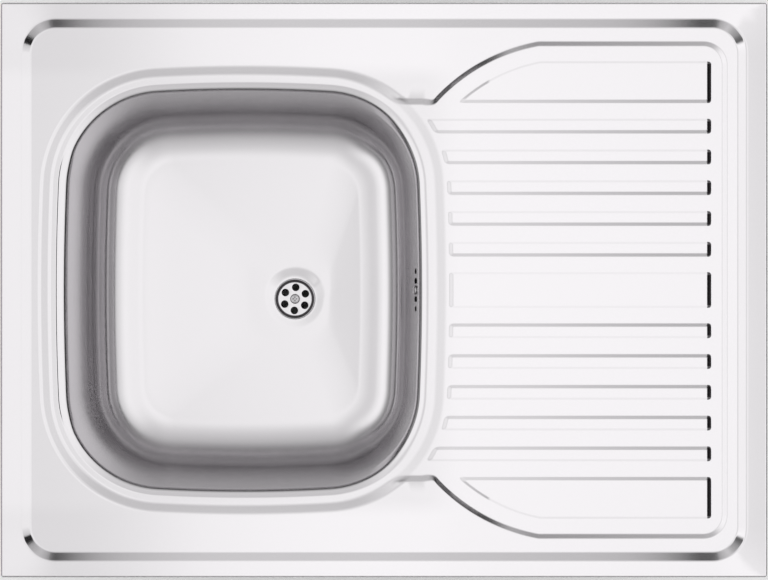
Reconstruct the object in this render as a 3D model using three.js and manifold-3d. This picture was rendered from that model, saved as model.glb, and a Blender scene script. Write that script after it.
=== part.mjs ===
// Lay-on kitchen sink, 800 x 600 mm, with one deep bowl and a ribbed drainboard.
// Millimetres, +Z up, +X towards the drainboard, -Y towards the user.
// The origin is the middle of the plane that the folded-in flange rests on.
import * as THREE from 'three';
import { mergeVertices } from 'three/addons/utils/BufferGeometryUtils.js';
import Module from 'manifold-3d';

const wasm = await Module();
wasm.setup();

// ---- driving dimensions -------------------------------------------------
const LENGTH = 800;            // along X
const WIDTH = 600;             // along Y
const SHEET = 0.8;             // sheet thickness
const Z_RIM = 30;              // top of the outer rim above the bearing plane
const Z_DECK = 26;             // deck, stepped down from the rim
const Z_LEDGE = 21.5;          // ledge round the bowl
const Z_DRAIN_FAR = 23.2;      // drainboard floor at its far end
const Z_DRAIN_NEAR = 22.4;     // drainboard floor beside the bowl
const ISLAND_H = 2.3;          // height of the raised islands
const FLANGE = 12;             // return flange, measured from the outside
const FOLD_R = 2.4;            // fold between rim and skirt

const RIM_OUT = { hx: 378.0, hy: 282.5, r: 35.4 };   // top of the rim step
const RIM_IN = { hx: 369.7, hy: 274.2, r: 27.1 };    // foot of the rim step

const BOWL_X = -147.6;         // bowl centre
const BOWL = { hw: 186.7, hh: 208.8, rSide: 2600, rTop: 1570, rCorner: 99.5 };
const RING_OUT = 26.5;         // ring step round the bowl, outwards from its edge
const RING_IN = 15.5;
const EDGE_R = 7;              // rounded edge of the bowl
const DRAFT = 8 * Math.PI / 180;
const Z_FLOOR = -130;          // bowl floor at the foot of the walls (160 mm deep)
const FLOOR_R = 55;            // fillet between wall and floor
const DISH = { x: -100, y: -10, r: 32, z: -133, land: -136, landR: 25, hole: 20.9 };

const BAY = { x: 358.8, y: 260.1, r: 25, cx: 195.8, cy: 68, arc: 195.15, neck: 199.4 };
const BAY_STEP = 6.3;          // plan width of the step into the drainboard
const RIB_PITCH = 32.2;
const RIB_FIRST = 42.6;
const RIB_HALF = 8.25;
const RIB_RIGHT = 340.5;
const ISLAND_EDGE = 2.8;       // plan width of the island edges

const SEG_CORNER = 8;
const SEG_ARC = 5;

// ---- small helpers ------------------------------------------------------
const V = (x, y, z = 0) => new THREE.Vector3(x, y, z);
const root = new THREE.Group();

function plain(g) {
  const h = g.clone();
  for (const k of Object.keys(h.attributes)) if (k !== 'position') h.deleteAttribute(k);
  return mergeVertices(h, 1e-4);
}
function solid(g) {
  const m = plain(g);
  return new wasm.Manifold(new wasm.Mesh({
    numProp: 3,
    vertProperties: new Float32Array(m.attributes.position.array),
    triVerts: new Uint32Array(m.index.array),
  }));
}
function geometryOf(s) {
  const m = s.getMesh();
  const g = new THREE.BufferGeometry();
  g.setAttribute('position', new THREE.BufferAttribute(new Float32Array(m.vertProperties), 3));
  g.setIndex(Array.from(m.triVerts));
  g.computeVertexNormals();
  return g;
}
function join(...gs) { return gs.map(solid).reduce((a, b) => a.add(b)); }
function cut(s, ...gs) { return gs.map(solid).reduce((a, b) => a.subtract(b), s); }

function mesh(name, geometry, color, roughness, metalness, parent = root) {
  const m = new THREE.Mesh(geometry, new THREE.MeshStandardMaterial({ color, roughness, metalness }));
  m.name = name;
  parent.add(m);
  return m;
}
// ring turned about +Z from a closed [r, z] profile
function turned(profile, segments) {
  const pts = profile.map(([r, z]) => new THREE.Vector2(r, z));
  if (pts[0].x > 1e-6) pts.push(pts[0].clone());
  const g = new THREE.LatheGeometry(pts, segments);
  g.rotateX(Math.PI / 2);
  return g;
}
function rod(r, z0, z1, segments = 16) {
  const g = new THREE.CylinderGeometry(r, r, z1 - z0, segments);
  g.rotateX(Math.PI / 2);
  g.translate(0, 0, (z0 + z1) / 2);
  return g;
}
function box(x0, y0, z0, x1, y1, z1) {
  const g = new THREE.BoxGeometry(x1 - x0, y1 - y0, z1 - z0);
  g.translate((x0 + x1) / 2, (y0 + y1) / 2, (z0 + z1) / 2);
  return g;
}
// LatheGeometry and CylinderGeometry both need their faces pointing out
function outward(g) {
  const p = plain(g);
  const a = p.attributes.position, i = p.index.array;
  let v = 0;
  const A = new THREE.Vector3(), B = new THREE.Vector3(), C = new THREE.Vector3();
  for (let k = 0; k < i.length; k += 3) {
    A.fromBufferAttribute(a, i[k]); B.fromBufferAttribute(a, i[k + 1]); C.fromBufferAttribute(a, i[k + 2]);
    v += A.dot(B.cross(C));
  }
  if (v < 0) {
    for (let k = 0; k < i.length; k += 3) { const t = i[k + 1]; i[k + 1] = i[k + 2]; i[k + 2] = t; }
  }
  // drop triangles whose corners fell together on the axis
  const keep = [];
  for (let k = 0; k < i.length; k += 3) {
    if (i[k] !== i[k + 1] && i[k + 1] !== i[k + 2] && i[k] !== i[k + 2]) keep.push(i[k], i[k + 1], i[k + 2]);
  }
  p.setIndex(keep);
  p.computeVertexNormals();
  return p;
}
const lathe = (profile, segments) => outward(turned(profile, segments));

// ---- plan outlines ------------------------------------------------------
// A rounded rectangle, anticlockwise, with seg + 1 points on each corner.
function roundRect(hx, hy, r, z, seg) {
  const out = [];
  for (let q = 0; q < 4; q++) {
    const sx = q === 0 || q === 3 ? 1 : -1, sy = q < 2 ? 1 : -1;
    for (let k = 0; k <= seg; k++) {
      const t = (q + k / seg) * Math.PI / 2;
      out.push(V(sx * (hx - r) + r * Math.cos(t), sy * (hy - r) + r * Math.sin(t), z));
    }
  }
  return out;
}

// The bowl outline: four very flat arcs joined by four tangent corner arcs.
// Every outline parallel to it keeps the same centres, so a point is a
// centre, a radius on the bowl edge and an angle.
const bowl = (() => {
  const a = BOWL.hw - BOWL.rSide, b = BOWL.hh - BOWL.rTop;
  const R1 = BOWL.rSide - BOWL.rCorner, R2 = BOWL.rTop - BOWL.rCorner;
  let x = BOWL.hw - BOWL.rCorner, y = BOWL.hh - BOWL.rCorner;
  for (let k = 0; k < 60; k++) {
    const f1 = (x - a) ** 2 + y * y - R1 * R1, f2 = x * x + (y - b) ** 2 - R2 * R2;
    const j11 = 2 * (x - a), j12 = 2 * y, j21 = 2 * x, j22 = 2 * (y - b);
    const det = j11 * j22 - j12 * j21;
    x -= (f1 * j22 - f2 * j12) / det;
    y -= (f2 * j11 - f1 * j21) / det;
  }
  return { a, b, cx: x, cy: y, t1: Math.atan2(y, x - a), t2: Math.atan2(y - b, x) };
})();
const HALF = Math.PI / 2;
function arcPoints(cx, cy, r, from, to, seg, skipFirst) {
  const out = [];
  for (let k = skipFirst ? 1 : 0; k <= seg; k++) out.push({ cx, cy, r, t: from + (to - from) * k / seg });
  return out;
}
// angles on the upper right corner arc where the ring meets the drainboard
const cornerAngle = (offset, y) => Math.asin((y - bowl.cy) / (BOWL.rCorner + offset));
const NECK_IN = BAY.neck - 4.7;
const T_OUT = cornerAngle(RING_OUT, BAY.neck);
const T_IN = cornerAngle(RING_IN, NECK_IN);
const T_BAY = cornerAngle(RING_OUT, NECK_IN);

// left-hand run, from the upper junction round the bowl to the lower one
const leftRun = (() => {
  const { a, b, cx, cy, t1, t2 } = bowl, rc = BOWL.rCorner;
  return [
    ...arcPoints(cx, cy, rc, T_IN, t2, 4, false),
    ...arcPoints(0, b, BOWL.rTop, t2, Math.PI - t2, SEG_ARC, true),
    ...arcPoints(-cx, cy, rc, Math.PI - t2, Math.PI - t1, SEG_CORNER, true),
    ...arcPoints(-a, 0, BOWL.rSide, Math.PI - t1, Math.PI + t1, SEG_ARC, true),
    ...arcPoints(-cx, -cy, rc, Math.PI + t1, Math.PI + t2, SEG_CORNER, true),
    ...arcPoints(0, -b, BOWL.rTop, Math.PI + t2, 2 * Math.PI - t2, SEG_ARC, true),
    ...arcPoints(cx, -cy, rc, 2 * Math.PI - t2, 2 * Math.PI - T_IN, 4, true),
  ];
})();
// right-hand run, from the lower junction up to the upper one
const rightRun = (() => {
  const { a, cx, cy, t1 } = bowl, rc = BOWL.rCorner;
  return [
    ...arcPoints(cx, -cy, rc, -T_IN, -t1, 5, false),
    ...arcPoints(a, 0, BOWL.rSide, -t1, t1, SEG_ARC, true),
    ...arcPoints(cx, cy, rc, t1, T_IN, 5, true),
  ];
})();
const at = (p, offset, z) => V(BOWL_X + p.cx + (p.r + offset) * Math.cos(p.t),
                               p.cy + (p.r + offset) * Math.sin(p.t), z);
const fullRun = [...leftRun, ...rightRun.slice(1, -1)];
const drainZ = (x) => Z_DRAIN_NEAR + (Z_DRAIN_FAR - Z_DRAIN_NEAR) * (x - 27) / (352 - 27);

// x of the outline parallel to the bowl on its right-hand side, at height y
function ringX(offset, y) {
  const ay = Math.abs(y), rs = BOWL.rSide + offset;
  if (ay <= rs * Math.sin(bowl.t1)) return BOWL_X + bowl.a + Math.sqrt(rs * rs - y * y);
  const rc = BOWL.rCorner + offset;
  return BOWL_X + bowl.cx + Math.sqrt(rc * rc - (ay - bowl.cy) ** 2);
}

// Bay outline, from the lower junction to the right and back to the upper one.
// e is the distance inside the top edge of the step, neckY the level of its neck.
function bayRun(e, neckY, startX, z) {
  const upper = [];
  const arc = BAY.arc - e, top = BAY.y - e, right = BAY.x - e, rc = BAY.r - e;
  const t0 = Math.PI - Math.asin((neckY - BAY.cy) / arc);
  const t1 = Math.PI - Math.asin((top - BAY.cy) / arc);
  upper.push([startX, neckY]);
  for (let k = 0; k <= 7; k++) {
    const t = t0 + (t1 - t0) * k / 7;
    upper.push([BAY.cx + arc * Math.cos(t), BAY.cy + arc * Math.sin(t)]);
  }
  for (let k = 0; k <= 5; k++) {
    const t = HALF * (1 - k / 5);
    upper.push([right - rc + rc * Math.cos(t), top - rc + rc * Math.sin(t)]);
  }
  const lower = upper.map(([x, y]) => [x, -y]);
  return [...lower, ...upper.reverse()].map(([x, y]) => V(x, y, z === null ? drainZ(x) : z));
}

// Rib outline, e inside its foot.
function ribRun(yc, half, e, z) {
  const y1 = yc + half - e, y0 = yc - half + e, xr = RIB_RIGHT - e;
  const rr = Math.max(1.6, 4.4 - e * 0.7), rl = 2.2;
  const out = [];
  for (let k = 0; k <= 3; k++) {
    const t = -HALF + HALF * k / 3;
    out.push([xr - rr + rr * Math.cos(t), y0 + rr + rr * Math.sin(t)]);
  }
  for (let k = 0; k <= 3; k++) {
    const t = HALF * k / 3;
    out.push([xr - rr + rr * Math.cos(t), y1 - rr + rr * Math.sin(t)]);
  }
  out.push([ringX(29.5 + e, y1) + rl, y1]);
  out.push([ringX(29.5 + e, y1 - rl), y1 - rl]);
  out.push([ringX(29.5 + e, y0 + rl), y0 + rl]);
  out.push([ringX(29.5 + e, y0) + rl, y0]);
  return out.map(([x, y]) => V(x, y, z(x)));
}
// The two large islands beside the curved ends of the bay, s = +1 or -1.
function cornerIsland(s, e, z) {
  const foot = 195.3 + e, top = 239.5 - e, xr = RIB_RIGHT - e, arc = 174.5 - e;
  const rr = Math.max(1.8, 5 - e * 0.6);
  const out = [];
  for (let k = 0; k <= 3; k++) {
    const t = -HALF + HALF * k / 3;
    out.push([xr - rr + rr * Math.cos(t), foot + rr + rr * Math.sin(t)]);
  }
  for (let k = 0; k <= 3; k++) {
    const t = HALF * k / 3;
    out.push([xr - rr + rr * Math.cos(t), top - rr + rr * Math.sin(t)]);
  }
  const t1 = Math.PI - Math.asin((top - BAY.cy) / arc);
  const t0 = Math.PI - Math.asin((foot + 2.2 - BAY.cy) / arc);
  for (let k = 0; k <= 6; k++) {
    const t = t1 + (t0 - t1) * k / 6;
    out.push([BAY.cx + arc * Math.cos(t), BAY.cy + arc * Math.sin(t)]);
  }
  const tip = BAY.cx + arc * Math.cos(t0);
  out.push([tip + 1.8, foot]);
  const run = s > 0 ? out : out.map(([x, y]) => [x, -y]).reverse();
  return run.map(([x, y]) => V(x, y, z(x)));
}

// ---- the pressed sheet --------------------------------------------------
// Each vertex is a pair: a point on the visible side and its partner on the
// other side of the sheet.
const faces = [];
const pair = (p, q) => ({ p, q: q || V(p.x, p.y, p.z - SHEET) });
const pairs = (run) => run.map((p) => pair(p));
function face(a, b, c) { faces.push([a.p, b.p, c.p], [a.q, c.q, b.q]); }
function strip(A, B, closed) {
  const n = A.length;
  for (let k = 0; k < (closed ? n : n - 1); k++) {
    const j = (k + 1) % n;
    face(A[k], A[j], B[j]);
    face(A[k], B[j], B[k]);
  }
}
function region(outer, holes) {
  const flat = (run) => run.map((v) => new THREE.Vector2(v.p.x, v.p.y));
  const all = [...outer, ...holes.flat()];
  for (const [a, b, c] of THREE.ShapeUtils.triangulateShape(flat(outer), holes.map(flat))) {
    const A = all[a].p, B = all[b].p, C = all[c].p;
    const area = (B.x - A.x) * (C.y - A.y) - (B.y - A.y) * (C.x - A.x);
    if (area > 0) face(all[a], all[b], all[c]); else face(all[a], all[c], all[b]);
  }
}
function rectPairs(inP, zP, inQ, zQ) {
  const ring = (d, z) => roundRect(LENGTH / 2 - d, WIDTH / 2 - d, Math.max(3 - d, 0.7), z, 3);
  const P = ring(inP, zP), Q = ring(inQ, zQ);
  return P.map((p, k) => pair(p, Q[k]));
}

// skirt and return flange, from the rim inwards and down
const c45 = SHEET * Math.SQRT1_2;
const skirt = [
  rectPairs(FOLD_R, Z_RIM, FOLD_R, Z_RIM - SHEET),
  rectPairs(FOLD_R * 0.29, Z_RIM - FOLD_R * 0.29, FOLD_R * 0.29 + c45, Z_RIM - FOLD_R * 0.29 - c45),
  rectPairs(0, Z_RIM - FOLD_R, SHEET, Z_RIM - FOLD_R),
  rectPairs(0, 1.6, SHEET, 1.6),
  rectPairs(0.47, 0.47, 0.47 + c45, 0.47 + c45),
  rectPairs(1.6, 0, 1.6, SHEET),
  rectPairs(FLANGE, 0, FLANGE, SHEET),
];
for (let k = 0; k + 1 < skirt.length; k++) strip(skirt[k + 1], skirt[k], true);

// flat rim and its step down to the deck
const rimOut = pairs(roundRect(RIM_OUT.hx, RIM_OUT.hy, RIM_OUT.r, Z_RIM, SEG_CORNER));
const rimIn = pairs(roundRect(RIM_IN.hx, RIM_IN.hy, RIM_IN.r, Z_DECK, SEG_CORNER));
region(skirt[0], [rimOut]);
strip(rimOut, rimIn, true);

// ring round the bowl
const ends = (run, t, offset, z) => {
  const out = run.map((p) => at(p, offset, typeof z === 'function' ? 0 : z));
  out[0] = at({ ...run[0], t: run[0].t < 0 || run[0].t > 3 ? -t : t }, offset, 0);
  out[out.length - 1] = at({ ...run[run.length - 1], t: run[run.length - 1].t > 3 ? -t : t }, offset, 0);
  for (const v of out) v.z = typeof z === 'function' ? z(v.x) : z;
  return out;
};
const leftOut = pairs(ends(leftRun, T_OUT, RING_OUT, Z_DECK));
const fullIn = pairs(fullRun.map((p) => at(p, RING_IN, Z_LEDGE)));
const nL = leftRun.length;
const leftIn = fullIn.slice(0, nL);
const rightIn = [...fullIn.slice(nL - 1), fullIn[0]];
const rightOut = pairs(ends(rightRun, T_BAY, RING_OUT, drainZ));
strip(leftOut, leftIn, false);
strip(rightOut, rightIn, false);

// bay of the drainboard
const bayOut = pairs(bayRun(0, BAY.neck, leftOut[0].p.x, Z_DECK));
bayOut[0] = leftOut[nL - 1];
bayOut[bayOut.length - 1] = leftOut[0];
const bayIn = pairs(bayRun(BAY_STEP, NECK_IN, rightOut[0].p.x, null));
bayIn[0] = rightOut[0];
bayIn[bayIn.length - 1] = rightOut[rightOut.length - 1];
strip(bayOut, bayIn, false);
face(leftOut[0], leftIn[0], bayIn[bayIn.length - 1]);
face(leftOut[nL - 1], bayIn[0], leftIn[nL - 1]);

// deck between the rim step, the ring and the bay
region(rimIn, [[...leftOut, ...bayOut.slice(1, -1)]]);

// islands on the drainboard
const islandFeet = [];
function island(make) {
  const foot = pairs(make(0, drainZ));
  const top = pairs(make(ISLAND_EDGE, (x) => drainZ(x) + ISLAND_H));
  strip(foot, top, true);
  region(top, []);
  islandFeet.push(foot);
}
for (const s of [1, -1]) island((e, z) => cornerIsland(s, e, z));
for (let k = 0; k < 5; k++) {
  for (const s of [1, -1]) island((e, z) => ribRun(s * (RIB_FIRST + RIB_PITCH * k), RIB_HALF, e, z));
}
island((e, z) => ribRun(0, 19.2, e, z));
region([...bayIn, ...rightOut.slice(1, -1).reverse()], islandFeet);

// bowl: inset from the edge outline, level, and the sheet's normal there
const wallFoot = Z_FLOOR + FLOOR_R * (1 - Math.sin(DRAFT));
const edgeFoot = Z_LEDGE - EDGE_R + EDGE_R * Math.sin(DRAFT);
const edgeIn = -EDGE_R + EDGE_R * Math.cos(DRAFT);
const wallIn = edgeIn + (edgeFoot - wallFoot) * Math.tan(DRAFT);
const floorIn = wallIn + FLOOR_R * Math.cos(DRAFT);
const profile = [[-RING_IN, Z_LEDGE, 0, 1], [-EDGE_R, Z_LEDGE, 0, 1]];
for (let k = 1; k <= 3; k++) {
  const t = HALF + (DRAFT - HALF) * k / 3;
  profile.push([-EDGE_R + EDGE_R * Math.cos(t), Z_LEDGE - EDGE_R + EDGE_R * Math.sin(t), Math.cos(t), Math.sin(t)]);
}
for (let k = 0; k <= 5; k++) {
  const t = DRAFT + (HALF - DRAFT) * k / 5;
  profile.push([floorIn - FLOOR_R * Math.cos(t), Z_FLOOR + FLOOR_R - FLOOR_R * Math.sin(t), Math.cos(t), Math.sin(t)]);
}
let previous = fullIn;
for (const [s, z, ns, nz] of profile.slice(1)) {
  const P = fullRun.map((p) => at(p, -s, z));
  const Q = fullRun.map((p) => at(p, -(s - ns * SHEET), z - nz * SHEET));
  const ring = P.map((p, k) => pair(p, Q[k]));
  strip(previous, ring, true);
  previous = ring;
}
// floor falling to the outlet dish, whose rings have evenly spaced points
const floorEdge = previous.map((v) => v.p);
const dishStart = (() => {
  const n = floorEdge.length;
  let last = null, turn = 0, sum = 0;
  floorEdge.forEach((p, k) => {
    let t = Math.atan2(p.y - DISH.y, p.x - DISH.x) + turn;
    if (last !== null && t < last - Math.PI) { t += 2 * Math.PI; turn += 2 * Math.PI; }
    last = t;
    sum += t - 2 * Math.PI * k / n;
  });
  return sum / n;
})();
const dishRing = (r, z) => floorEdge.map((p, k) => {
  const t = dishStart + 2 * Math.PI * k / floorEdge.length;
  return pair(V(DISH.x + r * Math.cos(t), DISH.y + r * Math.sin(t), z));
});
const dishRim = dishRing(DISH.r, DISH.z).map((v) => v.p);
for (const [r, z] of [[DISH.r, DISH.z], [28.5, (DISH.z + DISH.land) / 2 - 0.1], [DISH.landR, DISH.land], [DISH.hole, DISH.land]]) {
  const ring = dishRing(r, z);
  strip(previous, ring, true);
  previous = ring;
}
// height of the floor at a plan point, for pieces that lie under it
function floorZ(x, y) {
  const n = floorEdge.length;
  const inside = (A, B, C) => {
    const d = (B.x - A.x) * (C.y - A.y) - (B.y - A.y) * (C.x - A.x);
    const u = ((x - A.x) * (C.y - A.y) - (y - A.y) * (C.x - A.x)) / d;
    const w = ((B.x - A.x) * (y - A.y) - (B.y - A.y) * (x - A.x)) / d;
    return u > -1e-6 && w > -1e-6 && u + w < 1 + 1e-6 ? A.z + u * (B.z - A.z) + w * (C.z - A.z) : null;
  };
  for (let k = 0; k < n; k++) {
    const j = (k + 1) % n;
    const z = inside(floorEdge[k], floorEdge[j], dishRim[j]) ?? inside(floorEdge[k], dishRim[j], dishRim[k]);
    if (z !== null) return z;
  }
  return Z_FLOOR;
}

// close the sheet at the flange edge and at the outlet hole
function closeEdge(ring, flip) {
  for (let k = 0; k < ring.length; k++) {
    const a = ring[k], b = ring[(k + 1) % ring.length];
    if (flip) faces.push([a.p, b.q, b.p], [a.p, a.q, b.q]);
    else faces.push([a.p, b.p, b.q], [a.p, b.q, a.q]);
  }
}
closeEdge(skirt[skirt.length - 1], true);
closeEdge(previous, false);

const sheetGeometry = new THREE.BufferGeometry();
sheetGeometry.setAttribute('position', new THREE.Float32BufferAttribute(
  faces.flat().flatMap((p) => [p.x, p.y, p.z]), 3));

// ---- overflow -----------------------------------------------------------
// Local frame on the outside of the bowl wall: u along Y, v up the wall, w out.
const OVER_Z = -23;
const overIn = edgeIn + (edgeFoot - OVER_Z) * Math.tan(DRAFT);
const overflow = new THREE.Group();
const cosD = Math.cos(DRAFT), sinD = Math.sin(DRAFT);
const overBasis = new THREE.Matrix4().makeBasis(V(0, 1, 0), V(sinD, 0, cosD), V(cosD, 0, -sinD));
overBasis.setPosition(BOWL_X + BOWL.hw - overIn + SHEET / cosD, 0, OVER_Z);
overBasis.decompose(overflow.position, overflow.quaternion, overflow.scale);
root.add(overflow);

const SLOT_W = 5.8;
const SLOTS = [[-20.1, 12], [-9.8, 18], [9.8, 18], [20.1, 12]];
function slotCutter(u, height) {
  const h = height / 2 - SLOT_W / 2, r = SLOT_W / 2;
  const s = new THREE.Shape();
  s.absarc(u, h, r, 0, Math.PI, false);
  s.absarc(u, -h, r, Math.PI, 2 * Math.PI, false);
  s.closePath();
  const g = new THREE.ExtrudeGeometry(s, { depth: 8, bevelEnabled: false, curveSegments: 4 });
  g.translate(0, 0, -5);
  return g;
}
const cutters = [...SLOTS.map(([u, h]) => slotCutter(u, h)), rod(3.0, -5, 3, 12)];
for (const c of cutters) c.applyMatrix4(overBasis);
const pressing = cut(solid(sheetGeometry), ...cutters);
mesh('sink_pressing', geometryOf(pressing), 0xdfdce0, 0.28, 1.0);

mesh('overflow_gasket', lathe([[24.6, 0.35], [30.5, 0.35], [30.5, 2.35], [24.6, 2.35]], 28), 0x2a2a2c, 0.8, 0, overflow);

// cup with a spigot that points down the wall
const SPIGOT_W = 17.4;
const SPIGOT_END = -52;
function down(g) { g.rotateX(HALF); return g; }   // +Z becomes -Y, that is down the wall
function spigot(r, from, to, seg = 20) {
  const g = rod(r, from, to, seg);
  down(g);
  g.translate(0, 0, SPIGOT_W);
  return g;
}
const cup = join(rod(31, 2.65, 32, 28), spigot(13.2, 20, -SPIGOT_END, 20));
const cupBody = cut(cup,
  rod(28.6, 1, 29.4, 28), spigot(8.6, 22, 70, 20), spigot(10.9, -SPIGOT_END - 13, 70, 20));
const boss = cut(join(rod(6.6, 4, 30.2, 12)), rod(2.9, 0, 24, 12), rod(5.1, 0, 8.8, 6));
mesh('overflow_head', geometryOf(cupBody.add(boss)), 0x2b2b2e, 0.45, 0, overflow);
mesh('overflow_insert_nut', geometryOf(cut(join(rod(4.7, 4.4, 8.4, 6)), rod(2.85, 0, 12, 12))), 0xb9975a, 0.35, 1, overflow);

function crossCut(size, z0, z1, w) {
  return [box(-size, -w, z0, size, w, z1), box(-w, -size, z0, w, size, z1)];
}
const overScrew = cut(
  join(lathe([[0, 18], [2.1, 18], [2.5, 17.4], [2.5, -1.15], [5.2, -1.15], [5.0, -2.0], [3.9, -2.9], [2.2, -3.4], [0, -3.5]], 16)),
  ...crossCut(2.3, -5, -2.3, 0.45));
mesh('overflow_screw', geometryOf(overScrew), 0xcfcfd2, 0.25, 1, overflow);

// ---- union nuts, cone washers and hose ----------------------------------
// Built along +Z with the end face of the spigot at z = 0.
function unionNut() {
  const body = lathe([[13.55, -9], [14.6, -9.6], [15.7, -9], [15.7, 6.2], [15.2, 6.8], [11.2, 6.8], [11.2, 4.6], [13.55, 3.6]], 20);
  let s = solid(body);
  for (let k = 0; k < 8; k++) {
    const g = box(14.9, -1.2, -8.2, 16.3, 1.2, 5.6);
    g.rotateZ(k * Math.PI / 4);
    s = s.add(solid(g));
  }
  return geometryOf(s);
}
const coneWasher = () => lathe([[10.85, 0.5], [12.6, 0.5], [13.0, 1.2], [13.0, 3.0], [10.85, 4.2]], 20);

const overEnd = new THREE.Group();
overEnd.position.set(0, SPIGOT_END, SPIGOT_W);
overEnd.rotation.x = HALF;
overflow.add(overEnd);
mesh('overflow_hose_nut', unionNut(), 0x3a3a3d, 0.55, 0, overEnd);
mesh('overflow_cone_washer', coneWasher(), 0xd8d6d0, 0.6, 0, overEnd);

const WASTE = { x: DISH.x, y: DISH.y, inletZ: -168, inletEnd: 52 };
const wasteEnd = new THREE.Group();
wasteEnd.position.set(WASTE.x + WASTE.inletEnd, WASTE.y, WASTE.inletZ);
wasteEnd.rotation.y = HALF;
root.add(wasteEnd);
mesh('waste_hose_nut', unionNut(), 0x3a3a3d, 0.55, 0, wasteEnd);
mesh('waste_cone_washer', coneWasher(), 0xd8d6d0, 0.6, 0, wasteEnd);

const hoseStart = V(0, SPIGOT_END + 12, SPIGOT_W).applyMatrix4(overBasis);
const downWall = V(-sinD, 0, -cosD);
const hoseRoute = [
  hoseStart,
  hoseStart.clone().addScaledVector(downWall, 26),
  hoseStart.clone().addScaledVector(downWall, 46),
  hoseStart.clone().addScaledVector(downWall, 62).add(V(0.5, -0.6, 0)),
  V(32.5, -2.4, -146),
  V(18, -5.4, -160.5),
  V(-2, -8.6, -167),
  V(-22, -9.9, WASTE.inletZ),
  V(WASTE.x + WASTE.inletEnd + 8, WASTE.y, WASTE.inletZ),
  V(WASTE.x + WASTE.inletEnd - 12, WASTE.y, WASTE.inletZ),
];
const hoseCurve = new THREE.CatmullRomCurve3(hoseRoute, false, 'centripetal');
const hoseShape = new THREE.Shape().absarc(0, 0, 10.5, 0, 2 * Math.PI, false);
hoseShape.holes.push(new THREE.Path().absarc(0, 0, 8.9, 0, 2 * Math.PI, true));
const hose = outward(new THREE.ExtrudeGeometry(hoseShape, { steps: 20, bevelEnabled: false, curveSegments: 5, extrudePath: hoseCurve }));
mesh('overflow_hose', hose, 0xeceae6, 0.55, 0);

// ---- waste set ----------------------------------------------------------
const waste = new THREE.Group();
waste.position.set(DISH.x, DISH.y, 0);
root.add(waste);

// strainer: rolled lip, steep collar, flat disc with six holes
const plate = join(lathe([
  [0, -137.0], [18.4, -137.0], [18.9, -136.75], [21.1, -134.25], [21.6, -133.9], [22.1, -133.85], [22.5, -134.2],
  [22.5, -134.6], [21.9, -134.7], [21.4, -135.0], [19.5, -137.3], [18.7, -137.8], [0, -137.8]], 30));
const HOLE_TURN = HALF - 3.4 * Math.PI / 180;
const holes = [];
for (let k = 0; k < 6; k++) {
  const g = rod(4.05, -140, -135, 12);
  const t = HOLE_TURN + k * Math.PI / 3;
  g.translate(13.0 * Math.cos(t), 13.0 * Math.sin(t), 0);
  holes.push(g);
}
mesh('strainer_plate', geometryOf(cut(plate, ...holes, rod(3.5, -140, -135, 12))), 0xe2e0e3, 0.22, 1, waste);
mesh('strainer_gasket', lathe([[21.8, -135.65], [24.4, -135.65], [24.4, -134.95], [21.8, -134.95]], 32), 0x1f1f21, 0.8, 0, waste);
const mainScrew = cut(
  join(lathe([[0, -163], [2.4, -163], [3.0, -162.2], [3.0, -136.6], [5.5, -136.6], [5.4, -135.9], [4.4, -135.0], [2.4, -134.4], [0, -134.3]], 20)),
  ...crossCut(2.9, -135.9, -133, 0.55));
mesh('strainer_screw', geometryOf(mainScrew), 0xc9c8cb, 0.25, 1, waste);
mesh('waste_gasket', lathe([[21.4, -137.15], [24.8, -137.15], [28.2, -135.8], [30.0, -135.1], [30.4, -136.2], [30.4, -140.1], [21.4, -140.1]], 24), 0x242426, 0.85, 0, waste);

const OUTLET_Z = -202;
const barrel = join(lathe([
  [0, -140.4], [30.5, -140.4], [31, -141], [31, -144], [30, -144.8], [25, -146], [24, -150], [23.4, -158],
  [23.4, -182], [26.5, -183.2], [26.5, -185], [23.6, -186], [23.9, -188], [23.9, OUTLET_Z + 0.8], [23.3, OUTLET_Z], [0, OUTLET_Z]], 24));
function inletRod(r, from, to) {
  const g = rod(r, from, to, 20);
  g.rotateY(HALF);
  g.translate(0, 0, WASTE.inletZ);
  return g;
}
const shell = cut(barrel.add(solid(inletRod(13.2, 12, WASTE.inletEnd))),
  lathe([[0, -139], [20.6, -139], [20.6, -150], [18.9, -156], [18.9, -204], [0, -204]], 24),
  inletRod(8.6, 2, 70), inletRod(10.9, WASTE.inletEnd - 13, 70));
let hub = join(rod(9, -164, -145, 16));
for (let k = 0; k < 3; k++) {
  const g = box(5, -1.5, -162, 21.5, 1.5, -150);
  g.rotateZ(HOLE_TURN + Math.PI / 6 + k * 2 * Math.PI / 3);
  hub = hub.add(solid(g));
}
hub = cut(hub, rod(3.4, -166, -140, 12), rod(6.2, -151, -140, 6));
mesh('waste_body', geometryOf(shell.add(hub)), 0x2b2b2e, 0.45, 0, waste);
mesh('waste_insert_nut', geometryOf(cut(join(rod(5.8, -150.6, -145.4, 6)), rod(3.35, -156, -140, 12))), 0xb9975a, 0.35, 1, waste);

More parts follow.
